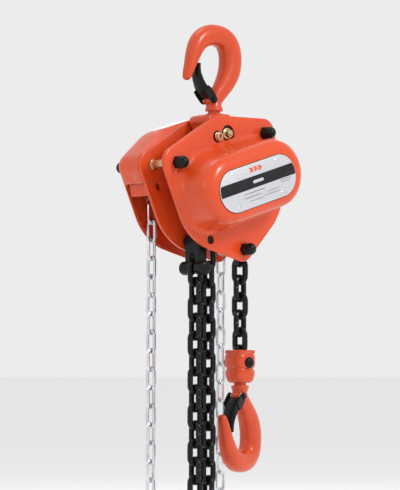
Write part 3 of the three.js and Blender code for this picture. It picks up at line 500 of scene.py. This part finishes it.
COVER_OUT = [(36, 1.2), (50, 1.8), (62, 2.4), (66, 2.9), (69, 3.7), (71.2, 5.0), (72.7, 6.6), (73.6, 8.6),
             (74.0, 11)]
COVER_IN = [(60, 5.4), (66, 6.4), (69.5, 9.5), (71, 13)]


def cover_shell(rim, steps):
    """The cover's foot follows the side plate, and its drum is fuller at the upper left."""
    rings = [(y, inset, PLATE) for y, inset in rim] + [(y, inset, COVER) for y, inset in steps]
    return loft([[(x, y, z) for x, z in hull(circles, inset, OUTLINE_SIDES)]
                 for y, inset, circles in rings])


side_window = rounded_rectangle(10, COVER_RIM, -140, 27, 6.0)  # in Y and Z
windows = [prism(side_window, sign * 41, sign * 132, "x") for sign in (-1, 1)]
windows.append(prism(rounded_rectangle(-42, 42, -140, -78, 3), 10, COVER_RIM))
add("hand_wheel_cover_pressed", [cover_shell([(26.5, 1.2), (27.0, 0.8)], COVER_OUT)], PAINT,
    "frame", ["hand_wheel_cover"], BODY, bevel=0.9, cutters=[cover_shell([(22, 4.0)], COVER_IN)] + windows)
COVER_BOSS = [(0, 73.5), (30, 73.5), (32, 73.2), (34.5, 72.4), (36, 71.8), (36, 71.2), (0, 71.2)]
add("hand_wheel_cover_boss", [turned(COVER_BOSS, 0, 0, 96)], PAINT, "frame", (), BODY)

# ---------------------------------------------------------------- nameplate: blank, with a black band
plate_ring = [(-85.7, 0.0), (-86.7, 0.0), (-87.0, 0.15), (-87.1, 0.45)]
add("nameplate_blank", [pressed(NAMEPLATE, plate_ring, 96)], SILVER, "frame", ["nameplate"],
    BODY)
add("nameplate_gasket", [pressed(NAMEPLATE, [(-85.6, -0.7), (-86.25, -0.7), (-86.3, -0.3)], 96)], BLACK_INK_AND_PAINTED_SHADE,
    "frame", (), BODY)


def clip(outline, z0, z1):
    """The part of a convex outline between two heights."""
    for sign, limit in ((1, z0), (-1, -z1)):
        out = []
        for i, (x, z) in enumerate(outline):
            px, pz = outline[i - 1]
            inside, was = sign * z >= limit, sign * pz >= limit
            if inside != was:
                t = (limit - sign * pz) / (sign * (z - pz))
                out.append((px + (x - px) * t, pz + (z - pz) * t))
            if inside:
                out.append((x, z))
        outline = out
    return outline


band = clip(hull(NAMEPLATE, 0.7, 96), -9.2, 6.3)
LABEL = BODY @ Matrix.Translation((-1, 0, -2.3))
add("nameplate_band", [prism(band, -87.22, -87.0)], BLACK_INK_AND_PAINTED_SHADE, "frame", (), BODY)
marks = [rounded_rectangle(x0, x1, z, z + h, h / 2.1, 3) for x0, x1, z, h in
         ((-32, 8, -12.5, 1.3), (-32, -2, -17.6, 1.3), (12, 34, -17.6, 1.0), (4, 34, -21.6, 1.0),
          (-24, 2, -23.0, 1.0), (38, 58, -9.6, 1.0), (40, 56, -12.6, 1.0))]
add("nameplate_lines", [prism(m, -87.2, -87.0) for m in marks], GREY_INK, "frame", (), LABEL)
chevrons = [[(x, 14), (x + 5.5, 14), (x + 9, 17.2), (x + 5.5, 20.4), (x, 20.4), (x + 3.4, 17.2)]
            for x in (-14, -6, 2)]
add("nameplate_chevrons", [prism(c, -87.25, -87.0) for c in chevrons], ORANGE_INK, "frame",
    (), LABEL)
add("nameplate_white_bar", [prism(rounded_rectangle(-11, 9, -1.1, 2.9, 1.9, 5), -87.35, -87.1)], SILVER,
    "frame", (), LABEL)
RIVET = [(0, -87.6), (0.8, -87.58), (1.5, -87.4), (1.9, -87.2), (2.0, -86.9), (0, -86.9)]
rivets = [turned(RIVET, x, z, 20)
          for x, z in ((-44, 19.2), (38, 19.2), (-44, -25.2), (38, -25.2))]
add("nameplate_rivets", rivets, ZINC, "frame", (), LABEL)


# ---------------------------------------------------------------- fasteners
NUT_TURN = 0.2  # a nut's corners about its own axis


def cap_nut(x, z, y, way):
    """Chamfered hexagon, domed end and washer face; way is the direction it points in along Y."""
    half = 9.2 * cos(pi / 6) + 0.1

    def wave(r, h, t):
        a = (t + NUT_TURN) % (pi / 3) - pi / 6
        return min(r, half / cos(a)) if abs(h - y) < 8.6 else r
    profile = [(5.5, 0.3), (8.9, 0.3), (9.1, 0.7), (9.1, 1.3), (8.1, 1.35), (8.5, 1.9), (9.2, 2.8),
               (9.2, 6.4), (8.7, 7.3), (8.0, 7.9), (7.8, 8.4), (8.15, 9.2), (8.3, 10.6), (8.2, 12.2),
               (7.7, 14.0), (6.7, 15.9), (5.2, 17.5), (3.2, 18.7), (1.2, 19.2), (0, 19.3)]
    return turned([(0, y + way * 0.3)] + [(r, y + way * h) for r, h in profile], x, z, 72, wave=wave)


for name, (x, z) in STAYS.items():
    add(f"cap_nut_front_{name}", [cap_nut(x, z, FLANGE_FRONT, -1)], BLACK, "frame",
        [f"front_cap_nut_{name}"], BODY, angle=24)
    add(f"cap_nut_rear_{name}", [cap_nut(x, z, COVER_BACK, 1)], BLACK, "frame",
        [f"rear_cap_nut_{name}"], BODY, angle=24)
    waist = 4.5 if name == "bottom" else 6.0
    profile = [(0, -36), (4.6, -36), (5, -35.5), (5, -21.0), (7.4, -20.9), (7.8, -20.4), (7.8, -17.4),
               (7.4, -16.9), (6.2, -16.8), (6, -16.2), (waist, -14), (waist, 14), (6, 16.2), (6.2, 16.8),
               (7.4, 16.9), (7.8, 17.4), (7.8, 20.4), (7.4, 20.9), (5, 21), (5, 26.5), (6, 26.6),
               (6, 70.5), (5, 70.7), (5, 81.5), (4.6, 82), (0, 82)]
    add(f"stay_bolt_turned_{name}", [turned(profile, x, z, 40)], YELLOW_ZINC, "frame",
        [f"stay_bolt_{name}"], BODY, bevel=0.2, segments=2)


STUD_TURN = 0.35


def hexagon(across, x, z):
    r = across / sqrt(3)
    return [(x + r * cos(STUD_TURN + k * pi / 3), z + r * sin(STUD_TURN + k * pi / 3)) for k in range(6)]


sx, sz = SUSPENSION
kx, kz = KEEPER
add("suspension_pin_turned", [rod(8, -27.4, 26.2, sx, sz, 0.9, 48)], YELLOW_ZINC, "frame",
    ["suspension_pin"], BODY)
stud = [prism(hexagon(9.6, sx, sz), -33.2, -27.0), rod(3.6, -34.8, -32.5, sx, sz, 0.8, 24)]
add("suspension_pin_stud", stud, YELLOW_ZINC, "frame", (), BODY, bevel=0.5)
SLEEVE = [(3.0, -34.0), (3.2, -34.4), (5.0, -34.4), (5.5, -34.0), (5.5, -31.2), (6.4, -31), (6.4, -29.3),
          (4.5, -29.1), (4.5, -20.6), (4.2, -20.4), (3.0, -20.4)]
add("pin_keeper_sleeve", [turned(SLEEVE, kx, kz, 40)], YELLOW_ZINC, "frame", ["pin_keeper_screw"],
    BODY, bevel=0.15)
add("pin_keeper_core", [rod(2.9, -33.0, -22, kx, kz, 0.5, 24)], WHEEL_PAINT, "frame", (), BODY)
# Thin black discs behind the pin holes are painted shade. They make the holes look dark inside, where the
# gap would be in shadow.
PAINTED_SHADE_GAP = (-25.66, -25.44)  # between the gear cover's flange and the side plate
add("pin_hole_painted_shade", [prism(hull([(sx, sz, 14), (kx, kz, 10.5)], 0, 64), *PAINTED_SHADE_GAP)], BLACK_INK_AND_PAINTED_SHADE,
    "frame", (), BODY, cutters=[bore(8.1, -27, -24, sx, sz), bore(4.7, -27, -24, kx, kz)])
# A black disc behind the anchor pin's hole is painted shade inside that hole.
add("anchor_pin_hole_painted_shade", [prism(hull([(*ANCHOR_PIN, 8.5)], 0, 48), *PAINTED_SHADE_GAP)], BLACK_INK_AND_PAINTED_SHADE,
    "frame", (), BODY)
add("anchor_pin_turned", [rod(5.5, -25.2, 26.2, *ANCHOR_PIN, 0.6, 32)], BLACK, "frame",
    ["anchor_pin"], BODY)

# ---------------------------------------------------------------- hooks
HOOK_STATIONS = [
    (0, -91, 11.6, 11.6), (0, -89.8, 12.0, 12.0), (0, -87.6, 11.9, 11.9), (0, -84.5, 11.0, 10.6),
    (0.4, -80, 10.5, 9.6), (2, -75.5, 10.5, 9.0), (6, -68.5, 10.9, 9.1), (13.5, -59, 12, 10.5),
    (20, -50, 13.2, 11.8), (25.5, -40, 14.3, 12.6), (28.8, -30, 15.0, 12.9), (30, -20, 15.2, 13),
    (29.4, -10, 15.2, 13.1), (26.6, -1, 15.1, 13.1), (21, 6.4, 14.8, 13.0), (13, 11.2, 14.4, 12.9),
    (3, 13.4, 13.9, 12.7), (-7, 13.1, 13.7, 12.5), (-16, 10.4, 13.4, 12.3), (-25, 5, 13.0, 12.0),
    (-32, -3, 12.2, 11.6), (-37.2, -13, 11.2, 11.0), (-40.6, -22, 10.2, 10.4), (-43.4, -30, 9.2, 9.9),
    (-45.8, -36.5, 8.4, 9.4), (-47.6, -41.5, 7.8, 8.9), (-49.0, -45.4, 7.2, 8.2), (-50.2, -48.6, 6.0, 6.9),
    (-51.0, -50.9, 4.0, 4.9), (-51.4, -52.0, 1.2, 1.6),
]
BOW_START, POINT_START = 6, 19


def fuller(i):
    """The bow is a little fuller than the stations above, and the point is slimmer."""
    if i < BOW_START:
        return 1.0
    if i < POINT_START:
        return 1.05
    return max(0.86, 1.05 - 0.035 * (i - POINT_START + 1))


HOOK_LINE = [(x, z, a * fuller(i), b * fuller(i)) for i, (x, z, a, b) in enumerate(HOOK_STATIONS)]
LATCH_X, LATCH_Z = -9.0, -76.5


def hook_section(t):
    """Egg-shaped forging with flatter flanks."""
    out = []
    for k in range(32):
        a = 2 * pi * (k + 0.5) / 32
        u, v = cos(a), sin(a)
        square = 0.84 if 0.15 < t < 0.85 else 0.95
        u = abs(u) ** square * (1 if u > 0 else -1)
        v = abs(v) ** square * (1 if v > 0 else -1)
        scale = 1 / max(1.0, sqrt(u * u + v * v) * 0.94)
        out.append((u * scale, v * scale))
    return out


def hook_parts(shank_end):
    bow = sweep(catmull(HOOK_LINE, 4), hook_section)
    shank = turned([(0, -88), (8.5, -88), (8.5, shank_end + 6.5), (9.2, shank_end + 6.1),
                    (13, shank_end + 5.9), (13, shank_end + 0.4), (12.6, shank_end), (0, shank_end)],
                   0, 0, 40, "z")
    barrel = [(0, -6.9), (4.9, -6.9), (5.7, -6.2), (5.9, -5.2), (5.9, 5.2), (5.7, 6.2), (4.9, 6.9),
              (0, 6.9)]
    ear = turned(barrel, LATCH_X + 1.4, LATCH_Z, 36)
    web = prism([(-13.5, -79), (-9.5, -82.6), (0, -84), (2, -70), (-6, -71)], -6.3, 6.3)
    return [bow, shank, ear, web]


def latch_parts():
    """A pressed channel: web outside, two flanges, two ears round the pin."""
    line = catmull([(-33.0, -27.6), (-34.6, -33.5), (-34.9, -41.5), (-33.2, -49), (-30.4, -56),
                    (-27.0, -62.6), (-23.6, -67.4), (-19.8, -71.4), (-16.6, -74.4)], 5)
    outer = [(x + 0.2, z) for x, z in line]
    wall, corner = 1.9, 2.2
    rings = []
    last = len(outer) - 1
    for i, (x, z) in enumerate(outer):
        a, b = outer[max(i - 1, 0)], outer[min(i + 1, last)]
        dx, dz = b[0] - a[0], b[1] - a[1]
        length = sqrt(dx * dx + dz * dz)
        nx, nz = -dz / length, dx / length  # towards the bow
        if nx < 0:
            nx, nz = -nx, -nz
        w = 7.4 + 3.6 * min(1, i / last * 1.25)
        d = 2.6 + 6.8 * min(1, (i / last) * 1.15)
        t, c = wall, corner
        half = [(0, w - c), (0.35 * c, w - 0.35 * c), (c, w), (d - 0.5, w), (d, w - 0.5), (d, w - t + 0.4),
                (d - 0.4, w - t), (c + 0.4, w - t), (t + 0.5, w - t - 0.5), (t, w - t - 1.4)]
        mirrored = [(u, -v) for u, v in reversed(half)]
        section = mirrored[-1:] + half + mirrored[:-1]
        rings.append([(x + nx * u, v, z + nz * u) for u, v in section])
    ear = [(-24.8, -63.6), (-27.0, -66.0), (-22.6, -71.4), (-15.8, -78.6), (-11.8, -81.4), (-7.4, -81.2),
           (-4.4, -78.2), (-4.2, -74.2), (-7.8, -68.6), (-15.4, -60.4), (-20.6, -57.5)]
    return [loft(rings)] + [prism(ear, y0, y0 + wall) for y0 in (-11.5, 9.6)]


def latch_pin_parts():
    profile = [(0, -14), (2.6, -13.9), (3.6, -13.2), (4.1, -12.2), (4.1, -11.9), (2.4, -11.8), (2.4, 11.8),
               (4.1, 11.9), (4.1, 12.2), (3.6, 13.2), (2.6, 13.9), (0, 14)]
    return [turned(profile, LATCH_X, LATCH_Z, 32)]


SPRING_COILS, SPRING_STEPS, SPRING_RADIUS, SPRING_WIRE = 5, 120, 4.3, 0.6


def latch_spring_parts():
    """The spring's coils on each side of the hook's ear."""
    coil = []
    for n in range(SPRING_STEPS + 1):
        t = n / SPRING_STEPS
        a = 2 * pi * SPRING_COILS * t
        coil.append((LATCH_X + SPRING_RADIUS * cos(a), -9.0 + 18 * t, LATCH_Z + SPRING_RADIUS * sin(a)))
    rings = []
    for n, p in enumerate(coil):
        q = Vector(coil[min(n + 1, SPRING_STEPS)]) - Vector(coil[max(n - 1, 0)])
        q.normalize()
        side = q.cross(Vector((0, 1, 0))).normalized()
        up = side.cross(q)
        wire = [(cos(k * pi / 4), sin(k * pi / 4)) for k in range(8)]
        rings.append([tuple(Vector(p) + side * SPRING_WIRE * c + up * SPRING_WIRE * s) for c, s in wire])
    return [loft([r for r in rings if r[0][1] < -6.9]), loft([r for r in rings if r[0][1] > 6.9])]


BOTTOM = (Matrix.Translation((LOAD_X, 0, BOTTOM_COLLAR_Z - 91)) @ Matrix.Rotation(BOTTOM_HOOK_TURN, 4, "Z")
          @ Matrix.Rotation(pi, 4, "X"))
HOOKS = (("top", Matrix(), -113.0, "hook_top", "latch_top"),
         ("bottom", BOTTOM, -107.5, "hook_bottom", "latch_bottom"))
for where, place, end, hook_body, latch_body in HOOKS:
    add(f"{where}_hook_forged", hook_parts(end), FORGED_PAINT, hook_body, [f"{where}_hook"], place,
        angle=40)
    add(f"{where}_latch_pressed", latch_parts(), BLACK, latch_body, [f"{where}_latch"],
        place, bevel=0.4, segments=2, angle=40)
    add(f"{where}_latch_rivet", latch_pin_parts(), BLACK, hook_body, [f"{where}_latch_pin"],
        place)
for where, place, _, hook_body, _ in HOOKS:
    add(f"{where}_latch_spring", latch_spring_parts(), ZINC, hook_body, (), place, angle=60)

# ---------------------------------------------------------------- top yoke
YOKE_OUTLINE = even([
    (-15, -13.6), (-12, -14), (12, -14), (15, -13.6), (19, -9), (22, -4), (23.6, 2), (24, 8), (23.2, 14),
    (21, 19), (17.4, 23.6), (13, 27.6), (11.4, 28.5), (-11.4, 28.5), (-13, 27.8), (-18.4, 25.4),
    (-23, 22.5), (-26, 19), (-27, 16), (-26.6, 11), (-25, 6), (-21, -4), (-18, -10),
], 72)
YOKE_STEPS = [(-19.4, 0.86), (-19.2, 0.91), (-18.2, 0.955), (-16.4, 0.985), (-13.5, 1.0), (13.5, 1.0),
              (16.4, 0.985), (18.2, 0.955), (19.2, 0.91), (19.4, 0.86)]  # (y, scale about the middle)
yoke_rings = [[((x + 0.5) * s - 0.5, y, (z - 7) * s + 7) for x, z in YOKE_OUTLINE] for y, s in YOKE_STEPS]
UP = Matrix.Translation((0, 0, PIN_Z))
add("top_yoke_forged", [loft(yoke_rings)], FORGED_PAINT, "yoke_top", ["top_yoke"], UP, angle=50,
    cutters=[bore(8.3, -30, 30, 0, 0)])
YOKE_BOSS = [(0, -20.3), (4.6, -20.2), (6.8, -19.4), (8.1, -17.8), (8.5, -15.5), (8.5, 15.5), (8.1, 17.8),
             (6.8, 19.4), (4.6, 20.2), (0, 20.3)]
add("top_yoke_boss", [turned(YOKE_BOSS, -21, 18, 40)], FORGED_PAINT, "yoke_top", (), UP)
YOKE_COLLAR = [(8.8, 28.0), (8.8, 28.9), (11.8, 28.9), (13.2, 28.3), (14.6, 26.8), (15.6, 24), (16, 20),
               (8.8, 20)]
add("top_yoke_collar", [turned(YOKE_COLLAR, 0, 0, 48, "z")], FORGED_PAINT, "yoke_top", (), UP)

# ---------------------------------------------------------------- bottom yoke, pin and nut
def rounded_ring(hx, hy, r, z):
    return [(x, y, z) for x, y in rounded_rectangle(-hx, hx, -hy, hy, r, 8)]


BLOCK = [(-460.8, 11.8, 11.8, 9), (-460.2, 13.6, 13.6, 10), (-458.2, 15.6, 15.4, 11),
         (-455, 17.0, 16.6, 12), (-449, 18.1, 17.6, 12), (-444.5, 18.2, 17.6, 12), (-443, 17.0, 16.6, 12),
         (-440.5, 16.6, 16.4, 12), (-438.8, 17.8, 17.4, 12), (-436.5, 18.5, 18, 12), (-426, 18.5, 18, 12),
         (-423.5, 18.0, 17.6, 12), (-421.6, 16.9, 16.7, 11), (-419.4, 17.2, 17.0, 8.6),
         (-417.8, 17.4, 17.2, 8.4), (-416.6, 16.7, 16.5, 8.2), (-415.8, 15.5, 15.4, 7.6),
         (-415.4, 13.6, 13.6, 7)]
block = loft([rounded_ring(hx, hy, r, z) for z, hx, hy, r in BLOCK])
DOWN = Matrix.Translation((LOAD_X, 0, 0))
HALF_GAP, PAST_BLOCK = 0.15, 40  # the split between the halves, and a reach beyond the block
slot = [prism(rounded_rectangle(-14, 14, -4.8, 4.8, 3), LOAD_PIN_Z - 14, -400, "z"),
        prism(rounded_rectangle(-4.8, 4.8, -14, 14, 3), LOAD_PIN_Z + 3, -400, "z")]
for half, sign in (("front", -1), ("rear", 1)):
    near, far = sorted((-sign * HALF_GAP, -sign * PAST_BLOCK))
    other_half = prism(rounded_rectangle(-PAST_BLOCK, PAST_BLOCK, near, far, 0.02, 1), -480, -400, "z")
    add(f"bottom_yoke_half_{half}", [block], FORGED_PAINT, "hook_drop", [f"bottom_yoke_{half}"],
        DOWN, bevel=0.5, segments=2, cutters=[other_half] + slot, angle=38)

# Raised flats at the yoke's sides, round the two clamping rivets.
PAD = [(0, -18.7), (3.6, -18.7), (5.0, -18.3), (5.8, -17.2), (6, -15), (0, -15)]
for side, quarter in (("left", pi / 2), ("right", -pi / 2)):
    add(f"bottom_yoke_pads_{side}", [turned(PAD, 0, z, 28) for z in (-429, -452)], FORGED_PAINT,
        "hook_drop", (), DOWN @ Matrix.Rotation(quarter, 4, "Z"))
YOKE_PIN = [(0, -22.8), (3.4, -22.7), (5.6, -22.0), (6.9, -20.9), (7.5, -19.6), (7.5, -18.5), (5, -18.3),
            (5, 21.7), (4.6, 22), (0, 22)]
add("yoke_pin_forged", [turned(YOKE_PIN, 0, LOAD_PIN_Z, 40)], BLACK, "hook_drop",
    ["yoke_pin"], DOWN)
PIN_SOCKET = [(0, -22.3), (2.8, -22.3), (3.1, -22.9), (3.9, -22.9), (4.3, -22.5), (4.3, -22), (0, -22)]
add("yoke_pin_socket", [turned(PIN_SOCKET, 0, LOAD_PIN_Z, 6)], BLACK, "hook_drop", (), DOWN,
    bevel=0.15)


def hex_nut(y0, y1, r, bore_r, z):
    half = r * cos(pi / 6)

    def wave(rr, h, t):
        a = (t + NUT_TURN) % (pi / 3) - pi / 6
        return min(rr, half / cos(a)) if rr > bore_r + 0.6 else rr
    h = y1 - y0
    return turned([(bore_r, y0), (r * 0.9, y0), (r, y0 + 0.12 * h), (r, y1 - 0.16 * h), (r * 0.9, y1),
                   (bore_r + 0.7, y1), (bore_r, y1 - 0.7)], 0, z, 72, wave=wave)


add("yoke_nut_locking", [hex_nut(18.5, 24.9, 8.2, 5.05, LOAD_PIN_Z)], BLACK, "hook_drop",
    ["yoke_nut"], DOWN, angle=24)


# ---------------------------------------------------------------- load chain
def line_spots(x, z_first, step, turns):
    """A plumb run of links, each across the one before; turns are each link's own, in degrees."""
    return [((x, 0.0, z_first + step * i), (0, 0, 1), radians(turn) + (pi / 2 if i % 2 else 0))
            for i, turn in enumerate(turns)]


PITCH = 24
LOAD_LINK = (7.8, PITCH, 25.6)  # wire, pitch, width
SLACK_LINK = (7.6, PITCH, 23.4)
HAND_WIRE, HAND_WIDTH = 4.6, 16.2
strand = line_spots(LOAD_X, -427.2, PITCH, [0, 6] + [12.6] * 8)
load_links = add("load_chain_links", chain(strand, *LOAD_LINK), CHAIN_BLACK, None,
                 ["load_chain"])
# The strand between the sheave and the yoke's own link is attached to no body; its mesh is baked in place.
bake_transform(load_links)

WRAP_LINKS, WRAP_RADIUS, WRAP_START, WRAP_STEP = 5, 32, 0.18, 0.79
wrap_spots = []
for i in range(WRAP_LINKS):
    a = WRAP_START + i * WRAP_STEP
    point = (SHEAVE_X + WRAP_RADIUS * cos(a), 0, SHEAVE_Z + WRAP_RADIUS * sin(a))
    wrap_spots.append((point, (-sin(a), 0, cos(a)), 0 if i % 2 else pi / 2))
wrap_spots += [((-22.5, 0, -210.5), (0.28, 0, 1), 0), ((-14.5, 0, -233), (0.3, 0, 1), pi / 2),
               ((SLACK_X, 0, -255.5), (0.05, 0, 1), 0)]
add("load_chain_wrap_links", chain(wrap_spots, *LOAD_LINK), CHAIN_BLACK, "frame",
    ["load_chain_wrap"])


def leaned(spots, lean):
    """Spots below the lean's height move aside in proportion to their drop, as in the CAD."""
    top, lean_x, lean_y = lean
    out = []
    for (x, y, z), (dx, dy, dz), turn in spots:
        drop = max(0.0, top - z)
        side = dz if drop else 0.0
        at = (x + lean_x * drop, y + lean_y * drop, z)
        out.append((at, (dx - lean_x * side, dy - lean_y * side, dz), turn))
    return out


SLACK_TURN = -6.6
slack = line_spots(ANCHOR_X, -312.6, -PITCH, [SLACK_TURN] * 14)
rise = line_spots(SLACK_X, -289.9, -PITCH, [SLACK_TURN] * 15)
turning = [((-22.5, 0, -638.6), (1, 0, 0.04), pi / 2)]
slack_links = chain(leaned(slack + rise, SLACK_LEAN), *SLACK_LINK)
slack_links += chain(leaned(turning, SLACK_LEAN), *LOAD_LINK)
add("slack_chain_links", slack_links, CHAIN_BLACK, "anchor", ["slack_chain"])

# ---------------------------------------------------------------- hand chain, endless over the wheel
HAND_RADIUS, HAND_LINKS, HAND_TURN = 64.0, 50, 0.16
straight, half_turn = SHEAVE_Z - HAND_LOOP_Z, pi * HAND_RADIUS
total = 2 * pi * HAND_RADIUS + 2 * straight
hand_spots = []
for i in range(HAND_LINKS):
    s = (i + 0.35) * total / HAND_LINKS
    if s < straight:
        p, d = (SHEAVE_X - HAND_RADIUS, HAND_Y, HAND_LOOP_Z + s), (0, 0, 1)
    elif s < straight + half_turn:
        a = pi - (s - straight) / HAND_RADIUS
        p = (SHEAVE_X + HAND_RADIUS * cos(a), HAND_Y, SHEAVE_Z + HAND_RADIUS * sin(a))
        d = (sin(a), 0, -cos(a))
    elif s < 2 * straight + half_turn:
        p, d = (SHEAVE_X + HAND_RADIUS, HAND_Y, SHEAVE_Z - (s - straight - half_turn)), (0, 0, -1)
    else:
        a = -(s - 2 * straight - half_turn) / HAND_RADIUS
        p = (SHEAVE_X + HAND_RADIUS * cos(a), HAND_Y, HAND_LOOP_Z + HAND_RADIUS * sin(a))
        d = (sin(a), 0, -cos(a))
    hand_spots.append((p, d, HAND_TURN if i % 2 else pi / 2 + HAND_TURN))
hand_links = chain(leaned(hand_spots, HAND_LEAN), HAND_WIRE, total / HAND_LINKS, HAND_WIDTH)
add("hand_chain_links", hand_links, ZINC, "hand_chain", ["hand_chain"])

# ---------------------------------------------------------------- hand wheel and guides
def pocket(r, h, t):
    """Pockets in the wheel's groove, one for each pair of links."""
    depth = abs(h - HAND_Y)
    if r > 52 and depth < 7.5:
        return r - 3.0 * max(0.0, cos(8 * t)) ** 0.6
    return r


WHEEL = [(8.3, 44.8), (31, 44.8), (32, 45.6), (32, 51), (46, 51), (50, 48.2), (53, 47.4), (68.6, 47.4),
         (69.8, 48.0), (70, 48.8), (69.6, 49.4), (66, 50.0), (61, 51.4), (59.6, 54.4), (55.6, 55.6),
         (54.6, 58.4), (55.6, 61.2), (59.6, 62.4), (61, 65.4), (66, 66.8), (69.6, 67.4), (70, 68.0),
         (69.8, 68.8), (68.6, 69.4), (53, 69.4), (50, 68.4), (46.5, 57), (21, 56), (18, 60), (17, 61),
         (8.3, 61)]
add("hand_wheel_cast", [turned(WHEEL, 0, 0, 128, wave=pocket)], WHEEL_PAINT, "drive",
    ["hand_wheel"], BODY, angle=35)
add("hand_wheel_locknut", [hex_nut(61.4, 66.3, 12.6, 8.3, 0)], ZINC, "drive", ["lock_nut"], BODY,
    angle=24)

for side, sign in (("left", -1), ("right", 1)):
    base = rounded_rectangle(sign * 90 - 6, sign * 90 + 6, -2, 26, 2.5)
    web = rounded_rectangle(min(sign * 93, sign * 96), max(sign * 93, sign * 96), 8, 26, 1.2)
    add(f"hand_chain_guide_{side}_pressed", [prism(base, 26.6, 29.0), prism(web, 26.6, 65)], PAINT,
        "frame", [f"hand_chain_guide_{side}"], BODY, bevel=0.6)

# ---------------------------------------------------------------- anchor
ax, az = from_body(*ANCHOR_PIN)
strap = [(ax - 8.8, az + 2), (ax - 7.2, az + 6.4), (ax - 2, az + 8.9), (ax + 4, az + 8.0),
         (ax + 8.2, az + 3.6), (ax + 8.4, az - 2.6), (ax + 4, az - 8), (ANCHOR_X + 4.4, ANCHOR_BAR_Z + 4),
         (ANCHOR_X - 5.2, ANCHOR_BAR_Z + 4), (ax - 8.6, az - 6)]
bar = turned([(0, -24.9), (5.6, -24.8), (8.0, -24.2), (9.2, -22.8), (9.5, -21), (9.5, -6.4), (8.9, -5.6),
              (8.0, -4.8), (8.0, 4.8), (8.9, 5.6), (9.5, 6.4), (9.5, 21), (9.2, 22.8), (8.0, 24.2),
              (5.6, 24.8), (0, 24.9)], ANCHOR_X,
             ANCHOR_BAR_Z, 48)
slot_outline = rounded_rectangle(-5, 5, ANCHOR_BAR_Z - 14, ANCHOR_BAR_Z + 20, 4.6)
slot_tool = prism(slot_outline, ANCHOR_X - 24, ANCHOR_X + 24, "x")
core = turned([(0, -5.2), (5.0, -5.2), (5.0, 5.2), (0, 5.2)], ANCHOR_X, ANCHOR_BAR_Z, 32)
add("anchor_bracket_strap", [prism(strap, -14.8, 14.8)], BLACK, "anchor",
    ["anchor_bracket"], bevel=1.3,
    cutters=[slot_tool], angle=30)
add("anchor_bracket_barrel", [bar], BLACK, "anchor", (), cutters=[slot_tool], angle=40)
add("anchor_bracket_core", [core], BLACK, "anchor", (), bevel=0.4)
BOLT = [(0, -25.0), (4.6, -25.0), (5.4, -24.8), (5.4, -24.0), (0, -24.0)]
add("anchor_bracket_bolt", [turned(BOLT, ANCHOR_X, ANCHOR_BAR_Z, 6)], BLACK, "anchor", ())

# ---------------------------------------------------------------- rollers
ROLLER_OUT, ROLLER_RISE = 50, radians(38)  # from the sheave's axis
ROLLER = [(4.3, -20), (6.2, -20.1), (6.7, -19.6), (6.7, -15), (6.1, -12), (5.8, 0), (6.1, 12), (6.7, 15),
          (6.7, 19.6), (6.2, 20.1), (4.3, 20)]
for side, sign in (("left", -1), ("right", 1)):
    x, z = sign * ROLLER_OUT * cos(ROLLER_RISE), ROLLER_OUT * sin(ROLLER_RISE)
    add(f"guide_roller_{side}_turned", [turned(ROLLER, x, z, 36)], YELLOW_ZINC, f"roller_{side}",
        [f"guide_roller_{side}"], BODY, angle=40)

# ---------------------------------------------------------------- CAD nodes that stay: material and edges
CAD_BEVEL = 0.00025
slot_of = {s["node"]: s["material_slot"] for s in frame["record"]["subparts"]}
for node, obj in frame["nodes"].items():
    obj.data.materials.clear()
    obj.data.materials.append(CAD_MATERIALS[slot_of[node]])
    m = obj.modifiers.new("bevel", "BEVEL")
    m.width, m.segments, m.limit_method, m.angle_limit = CAD_BEVEL, 2, "ANGLE", radians(35)

# ---------------------------------------------------------------- floor and light
FLOOR_GAP = 0.06
floor_z = CAD_BOX[0][2] - FLOOR_GAP
bpy.ops.mesh.primitive_circle_add(vertices=96, radius=40, fill_type="NGON", location=(0, 0, floor_z))
floor = bpy.context.object
floor.name = "floor"
floor.data.materials.append(new_material("pale_floor", Roughness=0.9, Base_Color=(0.93, 0.93, 0.93, 1))[0])

world = bpy.data.worlds.new("studio")
bpy.context.scene.world = world
world.use_nodes = True
world.node_tree.nodes["Background"].inputs["Color"].default_value = (1, 1, 1, 1)
world.node_tree.nodes["Background"].inputs["Strength"].default_value = 0.84


LIT_POINT = Vector((0, 0, -0.25))


def area_light(name, position, size, power):
    data = bpy.data.lights.new(name, "AREA")
    data.shape, data.size, data.energy = "DISK", size, power
    lamp = bpy.data.objects.new(name, data)
    bpy.context.scene.collection.objects.link(lamp)
    lamp.location = position
    lamp.rotation_euler = (Vector(position) - LIT_POINT).to_track_quat("Z", "Y").to_euler()


area_light("key", (0.35, -2.1, 1.1), 0.6, 25)
area_light("side", (-2.4, 0.2, 0.4), 1.0, 3)
area_light("top", (-0.2, 0.5, 2.1), 1.1, 7)
area_light("back", (1.8, 1.9, 0.6), 0.8, 4)
bpy.context.scene.view_settings.view_transform = "Standard"
